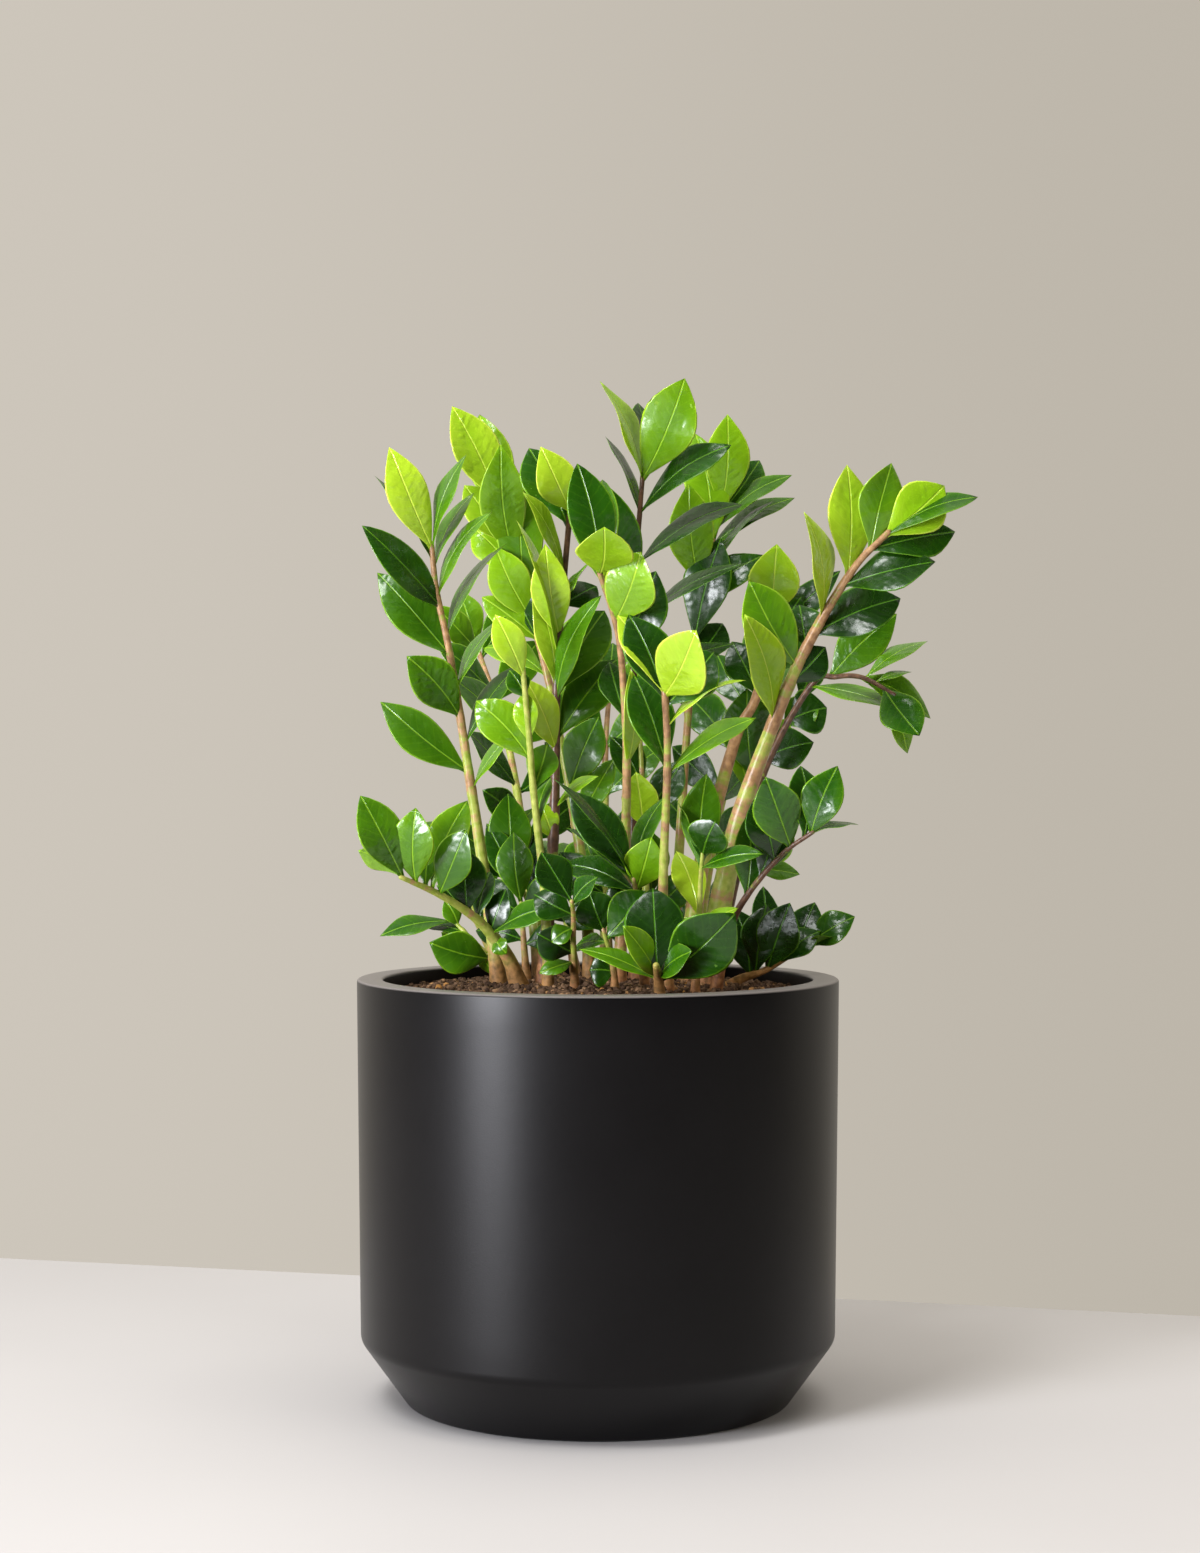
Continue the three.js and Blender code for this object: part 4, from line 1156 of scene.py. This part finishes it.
PAIRED_FRONDS: tuple[PairedFrond, ...] = (
    PairedFrond("frond_rear_left", ((-38, 72, 0), (-48, 92, 84), (-62, 118, 164), (-84, 142, 229)),
                (4.4, 2.8, 1.6), 5, 0.42, 58, 28),
    PairedFrond("frond_rear_centre", ((5, 88, 0), (5, 112, 84), (5, 142, 154), (8, 168, 199)),
                (4.4, 2.8, 1.6), 4, 0.45, 54, 27),
    PairedFrond("frond_rear_right", ((62, 84, 0), (76, 108, 84), (96, 136, 164), (122, 162, 214)),
                (4.4, 2.8, 1.6), 5, 0.42, 56, 27),
    PairedFrond("frond_rear_left_low", ((-62, 66, 0), (-82, 92, 44), (-104, 120, 76), (-122, 142, 89)),
                (3.5, 2.4, 1.4), 4, 0.4, 46, 23),
    PairedFrond("frond_rear_centre_low", ((-14, 96, 0), (-22, 124, 44), (-28, 150, 70), (-32, 172, 79)),
                (3.5, 2.4, 1.4), 4, 0.4, 44, 22),
    PairedFrond("frond_rear_right_low", ((43, 86, 0), (64, 122, 41), (88, 146, 66), (110, 160, 76)),
                (3.5, 2.4, 1.4), 4, 0.4, 44, 22),
)


@dataclass(frozen=True)
class Leaflet:
    """One leaflet in place.

    Attributes:
        base: where it grows from the stalk.
        along: its direction.
        face: where its upper side looks.
        length: in metres.
        width: in metres.
        age: 1 for young lime, 0 for old dark green.
    """

    base: np.ndarray
    along: np.ndarray
    face: np.ndarray
    length: float
    width: float
    age: float


@dataclass
class StalkLine:
    """The smooth line through a stalk's points, which leaflets and rings are placed along."""

    points: tuple[tuple[float, float, float], ...]
    steps: int = 24

    def __post_init__(self) -> None:
        """Works the line out once.

        Between two points p1 and p2 with neighbours p0 and p3 the line is a Catmull-Rom curve: half
        of 2 p1 + (p2 - p0) t + (2 p0 - 5 p1 + 4 p2 - p3) t^2 + (3 p1 - 3 p2 + p3 - p0) t^3.
        """
        spots = np.array(self.points, dtype=float) * MM + np.array([0.0, 0.0, SOIL_EDGE_Z])
        ends = np.stack([2 * spots[0] - spots[1], 2 * spots[-1] - spots[-2]])
        row = np.concatenate([ends[:1], spots, ends[1:]])
        p0, p1, p2, p3 = (row[k:len(row) - 3 + k, None] for k in range(4))
        t = np.linspace(0.0, 1.0, self.steps, endpoint=False)[None, :, None]
        curve = 0.5 * (2 * p1 + (p2 - p0) * t + (2 * p0 - 5 * p1 + 4 * p2 - p3) * t ** 2
                       + (3 * p1 - 3 * p2 + p3 - p0) * t ** 3)
        self.curve = np.concatenate([curve.reshape(-1, 3), spots[-1:]])
        steps = np.linalg.norm(np.diff(self.curve, axis=0), axis=1)
        self.run = np.concatenate([[0.0], np.cumsum(steps)])
        self.length = float(self.run[-1])

    def at(self, share: np.ndarray | float) -> np.ndarray:
        """Points at shares of the line's length."""
        where = np.asarray(share) * self.length
        return np.stack([np.interp(where, self.run, self.curve[:, k]) for k in range(3)], axis=-1)

    def heading(self, share: np.ndarray | float) -> np.ndarray:
        """Unit directions of the line at shares of its length."""
        share = np.asarray(share)
        return unit(self.at(np.minimum(share + 0.01, 1.0)) - self.at(np.maximum(share - 0.01, 0.0)))


@dataclass
class Frond:
    """One compound leaf: a stalk with its leaflets, grown as one piece."""

    plan: DrawnFrond | PairedFrond
    rng: np.random.Generator
    stalk_sides: int = 14
    ring_gap: float = 3.5 * MM
    buried: float = 12.0 * MM
    blade_rows: int = 12
    blade_sides: int = 12
    blade_thickness: float = 0.8 * MM
    neck: float = 0.1
    arch: float = 0.05
    pair_spread: float = 58.0
    pair_closing: float = 12.0
    pair_lift: float = 22.0
    last_pair: float = 0.97
    pair_stagger: float = 0.02
    pair_largest: float = 1.08
    pair_shrink: float = 0.28
    last_leaflet: float = 0.985
    swing: float = 12.0
    foot_swelling: float = 0.3
    foot_reach: float = 15 * MM
    joint_swelling: float = 0.08
    joint_reach: float = 3.5 * MM

    def __post_init__(self) -> None:
        """Works out the stalk's line."""
        self.line = StalkLine(self.plan.stalk)

    def build(self, materials: list[bpy.types.Material]) -> bpy.types.Object:
        """Makes the frond.

        Args:
            materials: the finishes of the leaflets and of the stalk.

        Returns:
            The frond's object.
        """
        leaflets = self.drawn() if isinstance(self.plan, DrawnFrond) else self.paired()
        places = np.array([leaflet.base for leaflet in leaflets])
        surfaces = [self.stalk(places)] + [self.blade(leaflet) for leaflet in leaflets]
        piece = make_piece(self.plan.name + "_living", joined(surfaces), materials)
        declare(piece, (self.plan.name,))
        return piece

    def drawn(self) -> list[Leaflet]:
        """Places the leaflets of a drawn frond.

        A leaflet's direction has the cosine and sine of its lean to the right and up, both times the
        cosine of how far it points to the front, whose sine is its share to the front. Every other
        leaflet swings nearer and the rest farther. Its face is the front made square to that, then
        turned about it.
        """
        leaflets = []
        for number, row in enumerate(self.plan.leaflets):
            place, lean, toward, turn, length, width, age = row
            swing = self.swing if number % 2 == 0 else -self.swing
            leaning, forward, turning = np.radians([lean, toward + swing, turn])
            along = np.array([np.cos(leaning) * np.cos(forward), -np.sin(forward),
                              np.sin(leaning) * np.cos(forward)])
            front = np.array([0.0, -1.0, 0.0])
            face = unit(front - front.dot(along) * along)
            face = face * np.cos(turning) + np.cross(along, face) * np.sin(turning)
            base = self.line.at(min(place, self.last_leaflet))
            leaflets.append(Leaflet(base, along, face, length * MM, width * MM, age))
        return leaflets

    def paired(self) -> list[Leaflet]:
        """Places the leaflets of a paired frond.

        A leaflet leaves the stalk by the spread, to either side of the plane of the frond, and rises
        from that plane towards its upper side by the lift. The leaflets are largest halfway.
        """
        plan = self.plan
        lift = math.radians(self.pair_lift)
        outward = self.line.at(1.0) - self.line.at(0.0)
        outward = unit(outward * np.array([1.0, 1.0, 0.0]))
        spots = [(1.0, 0, 1.0)]
        for pair in range(plan.pairs):
            row = pair / (plan.pairs - 1)
            place = plan.first_pair + (self.last_pair - plan.first_pair) * row
            spots += [(place, -1, row), (place - self.pair_stagger, 1, row)]
        leaflets = []
        for place, side, row in spots:
            heading = self.line.heading(place)
            upper = unit(-outward + outward.dot(heading) * heading)
            spread = abs(side) * math.radians(self.pair_spread - self.pair_closing * row)
            along = heading * math.cos(spread) + upper * math.sin(spread) * math.sin(lift)
            along = unit(along + np.cross(heading, upper) * math.sin(spread) * side * math.cos(lift))
            face = unit(upper - upper.dot(along) * along)
            size = (self.pair_largest - self.pair_shrink * abs(2 * row - 1)) * MM
            age = plan.age + 0.25 * (row - 0.5) + self.rng.uniform(-0.1, 0.1)
            base = self.line.at(min(place, self.last_leaflet))
            leaflets.append(Leaflet(base, along, face, plan.length * size, plan.width * size, age))
        return leaflets

    def stalk(self, places: np.ndarray) -> Surface:
        """The stalk: rings along its line, square to it, closed by a point at both ends.

        The radius runs through its three values, swells in its lowest stretch by the foot's swelling
        and swells a little, by the joint's swelling, where a leaflet grows.

        Args:
            places: where the leaflets grow.

        Returns:
            The stalk's surface.
        """
        count = max(8, round(self.line.length / self.ring_gap))
        share = np.linspace(0.0, 1.0, count)
        middle, heading = self.line.at(share), self.line.heading(share)
        radius = np.interp(share, [0.0, 0.5, 1.0], self.plan.radii) * MM
        radius *= 1.0 + self.foot_swelling * np.exp(-((share * self.line.length) / self.foot_reach) ** 2)
        near = np.linalg.norm(middle[:, None] - places[None], axis=-1).min(axis=1)
        radius *= 1.0 + self.joint_swelling * np.exp(-((near / self.joint_reach) ** 2))
        below = middle[:1] - np.array([[0.0, 0.0, self.buried]])
        middle = np.concatenate([below, middle])
        heading = np.concatenate([heading[:1], heading])
        radius = np.concatenate([radius[:1], radius])
        front = np.array([0.0, -1.0, 0.0])
        first = unit(front - (heading @ front)[:, None] * heading)
        second = np.cross(heading, first)
        turn = np.linspace(0.0, 2.0 * math.pi, self.stalk_sides, endpoint=False)[None, :, None]
        rings = first[:, None] * np.cos(turn) + second[:, None] * np.sin(turn)
        points = middle[:, None] + rings * radius[:, None, None]
        poles = np.stack([middle[0], middle[-1] + heading[-1] * radius[-1]])
        points = np.concatenate([points.reshape(-1, 3), poles])
        over_soil = (points[:, 2] - SOIL_EDGE_Z) / MM
        along = np.repeat(np.concatenate([[-self.buried], share * self.line.length]), self.stalk_sides)
        along = np.concatenate([along, [-self.buried, self.line.length]]) / MM
        blade = np.stack([over_soil, along, np.zeros(len(points))], axis=1)
        trait = np.tile([self.plan.dark, self.rng.uniform(0.0, 50.0), 0.0], (len(points), 1))
        rows = count + 1
        faces = [ring_faces(rows, self.stalk_sides), end_fans(rows, self.stalk_sides)]
        return Surface(points, faces, [1, 1], blade, trait)

    def blade(self, leaflet: Leaflet) -> Surface:
        """A leaflet: flat rings across it at rows along it, closed by a point at both ends.

        The half width at share s of the length is sin(pi s^f)^b of the full one, where f, the
        fullness, and b, the bluntness, differ a little from leaflet to leaflet. The middle of a
        row is bowed towards the face by the arch times sin(pi s), droops at the tip by s cubed, and
        sweeps a little sideways. Across a row the two halves rise from the midrib like a very shallow
        V that levels out, the margins wave, and the blade twists towards its tip. It thins towards its
        margins.

        Args:
            leaflet: where it is, and its size and age.

        Returns:
            The leaflet's surface.
        """
        rng = self.rng
        fold, droop, sweep = rng.uniform(0.1, 0.36), rng.uniform(-0.04, 0.14), rng.uniform(-0.05, 0.05)
        twist = rng.uniform(-0.4, 0.4)
        wave, start = rng.uniform(0.02, 0.07), rng.uniform(0.0, 2.0 * math.pi)
        chance = rng.uniform(0.0, 1.0)
        share = np.linspace(0.0, 1.0, self.blade_rows + 1)[:-1, None]
        share = share + 0.45 / self.blade_rows * share ** 6
        over = np.array([-1.0, -0.93, -0.5, 0.0, 0.5, 0.93])
        across = np.concatenate([over, -over])[None]
        upper = np.repeat([[0.0, 1.0, 0.0, -1.0]], [1, 5, 1, 5], axis=1)
        fullness, bluntness = rng.uniform(1.08, 1.36), rng.uniform(0.84, 1.02)
        half = np.maximum(np.sin(math.pi * share ** fullness) ** bluntness, self.neck) * leaflet.width / 2
        thick = self.blade_thickness / 2 * np.minimum(1.0, 2.5 * (1.0 - share) + 0.25)
        thick = thick * np.maximum(1.0 - across ** 2, 0.3) * (1.0 + 0.6 * (across == 0))
        bow = (self.arch * np.sin(math.pi * share) - droop * share ** 3) * leaflet.length
        lift = half * (fold * np.abs(across) - 0.6 * fold * across ** 2)
        ripple = half * wave * 2.0 * np.sin(2.0 * math.pi * 1.4 * share + start + across) * across ** 2
        height = bow + lift + ripple + half * across * twist * share + upper * thick
        aside = half * across + sweep * leaflet.length * np.sin(math.pi * share)
        sideways = np.cross(leaflet.along, leaflet.face)
        points = (leaflet.base + (share * leaflet.length + 0.0 * across)[..., None] * leaflet.along
                  + aside[..., None] * sideways + height[..., None] * leaflet.face)
        tip = leaflet.base + leaflet.along * leaflet.length - leaflet.face * droop * leaflet.length
        points = np.concatenate([points.reshape(-1, 3), leaflet.base[None], tip[None]])
        along = (share * leaflet.length / MM + 0.0 * across).ravel()
        blade = np.stack([along, (half * across / MM).ravel(), (across + 0.0 * share).ravel()], axis=1)
        blade = np.concatenate([blade, [[0.0, 0.0, 0.0], [leaflet.length / MM, 0.0, 0.0]]])
        under = np.concatenate([(upper + 0.0 * share).ravel() < 0, [False, False]]).astype(float)
        trait = np.stack([np.full(len(points), leaflet.age), np.full(len(points), chance), under], axis=1)
        faces = [ring_faces(self.blade_rows, self.blade_sides), end_fans(self.blade_rows, self.blade_sides)]
        return Surface(points, faces, [0, 0], blade, trait)


# ---------------------------------------------------------------- stage
@dataclass(frozen=True)
class Softbox:
    """A large soft light that looks at a point.

    Attributes:
        name: the light's name.
        place: in metres.
        target: the point that it looks at.
        size: width and height, in metres.
        power: in watts.
        tint: sRGB hex.
        mirrored: whether glossy surfaces show it.
    """

    name: str
    place: tuple[float, float, float]
    target: tuple[float, float, float]
    size: tuple[float, float]
    power: float
    tint: str = "#ffffff"
    mirrored: bool = True

    def build(self) -> None:
        """Makes the light and turns its -Z to the target."""
        light = bpy.data.lights.new(self.name, "AREA")
        light.shape = "RECTANGLE"
        light.size, light.size_y = self.size
        light.energy = self.power
        light.color = srgb(self.tint)[:3]
        lamp = bpy.data.objects.new(self.name, light)
        lamp.visible_glossy = self.mirrored
        back = unit(np.array(self.place) - np.array(self.target))
        side = unit(np.cross([0.0, 0.02, 1.0], back))
        up = np.cross(back, side)
        matrix = np.eye(4)
        matrix[:3, 0], matrix[:3, 1], matrix[:3, 2], matrix[:3, 3] = side, up, back, self.place
        lamp.matrix_world = matrix.T.tolist()
        bpy.context.scene.collection.objects.link(lamp)


@dataclass
class Studio:
    """The floor, the even backdrop, the soft lights and the camera."""

    backdrop_left: str = "#cdc6bb"
    backdrop_right: str = "#bdb6aa"
    ambient_front: float = 0.05
    ambient_back: float = 1.1
    floor_near: float = -3.0
    floor_reach: float = 4.0
    floor_drop: float = 0.1 * MM
    back_edge_left: tuple[float, float] = (-0.489, 0.500)
    back_edge_right: tuple[float, float] = (0.439, 0.259)
    eye: tuple[float, float, float] = (1.3 * MM, -1741 * MM, 393.5 * MM)
    lens: float = 63.56
    sensor: float = 36.0
    nearest: float = 0.05

    def build(self) -> None:
        """Makes everything that isn't the object."""
        bpy.context.scene.view_settings.view_transform = "Standard"
        self.floor()
        self.world()
        for light in (
            Softbox("key_softbox", (-2.07, -1.78, 0.53), (0.0, 0.0, 0.25), (0.85, 1.0), 118.0, "#f7f8ff"),
            Softbox("top_softbox", (-0.75, -0.95, 1.9), (0.0, 0.0, 0.4), (0.5, 0.7), 26.0, "#ffffff"),
            Softbox("ceiling_bounce", (0.0, -0.3, 3.0), (0.0, -0.3, 0.0), (3.2, 3.2), 90.0, "#fffaf2",
                    mirrored=False),
            Softbox("fill_softbox", (2.2, -1.4, 1.1), (0.0, 0.0, 0.3), (1.2, 1.6), 18.0, "#fff6ea",
                    mirrored=False),
        ):
            light.build()
        self.camera()

    def floor(self) -> None:
        """Lays the floor: one flat face whose back edge runs slightly askew."""
        (x_left, y_left), (x_right, y_right) = self.back_edge_left, self.back_edge_right
        slope = (y_right - y_left) / (x_right - x_left)
        left, right = -self.floor_reach, self.floor_reach
        back = [y_left + slope * (x - x_left) for x in (left, right)]
        points = np.array([[left, self.floor_near, 0.0], [right, self.floor_near, 0.0],
                           [right, back[1], 0.0], [left, back[0], 0.0]])
        points[:, 2] -= self.floor_drop
        blank = np.zeros_like(points)
        sheet = Surface(points, [np.array([[0, 1, 2, 3]])], [0], blank, blank)
        make_piece("floor", sheet, [PaintedFloor().make()])

    def world(self) -> None:
        """Fills the world with greige that darkens a little to the right.

        The camera sees it evenly bright. As light on the plant it is dim from the front and brighter
        from behind.
        """
        world = bpy.data.worlds.new("backdrop_greige")
        bpy.context.scene.world = world
        world.use_nodes = True
        world.node_tree.nodes.clear()
        tree = world.node_tree
        heading = add(tree, "SeparateXYZ", {0: add(tree, "TexCoord", {}).outputs["Generated"]})
        side = add(tree, "MapRange", {"Value": heading.outputs[0], "From Min": -0.25, "From Max": 0.25},
                   interpolation_type="SMOOTHSTEP")
        greige = add(tree, "Mix", {"Factor": side, "A": srgb(self.backdrop_left),
                                   "B": srgb(self.backdrop_right)}, data_type="RGBA")
        seen = add(tree, "Background", {"Color": greige, "Strength": 1.0})
        strength = add(tree, "MapRange", {"Value": heading.outputs[1], "From Min": -0.1, "From Max": 0.25,
                                          "To Min": self.ambient_front, "To Max": self.ambient_back})
        ambient = add(tree, "Background", {"Color": greige, "Strength": strength})
        direct = add(tree, "LightPath", {}).outputs["Is Camera Ray"]
        sky = add(tree, "MixShader", {0: direct, 1: ambient, 2: seen})
        add(tree, "OutputWorld", {"Surface": sky})

    def camera(self) -> None:
        """Stands the camera level in front, a little over the middle of the plant's height."""
        data = bpy.data.cameras.new("camera")
        data.lens = self.lens
        data.sensor_width = self.sensor
        data.clip_start = self.nearest
        lookout = bpy.data.objects.new("camera", data)
        lookout.location = self.eye
        lookout.rotation_euler = (math.pi / 2, 0.0, 0.0)
        bpy.context.scene.collection.objects.link(lookout)
        bpy.context.scene.camera = lookout


def main() -> None:
    """Builds the potted plant and the studio round it, and reports each piece."""
    planter = Planter()
    pieces = [planter.build(), *Soil(planter).build()]
    materials = [LivingLeaf().make(), LivingStalk().make()]
    for number, plan in enumerate((*DRAWN_FRONDS, *PAIRED_FRONDS)):
        pieces.append(Frond(plan, np.random.default_rng(SEED + number)).build(materials))
    for piece in pieces:
        log.info("%s: %d faces", piece.name, len(piece.data.polygons))
    Studio().build()


if __name__ == "__main__":
    main()
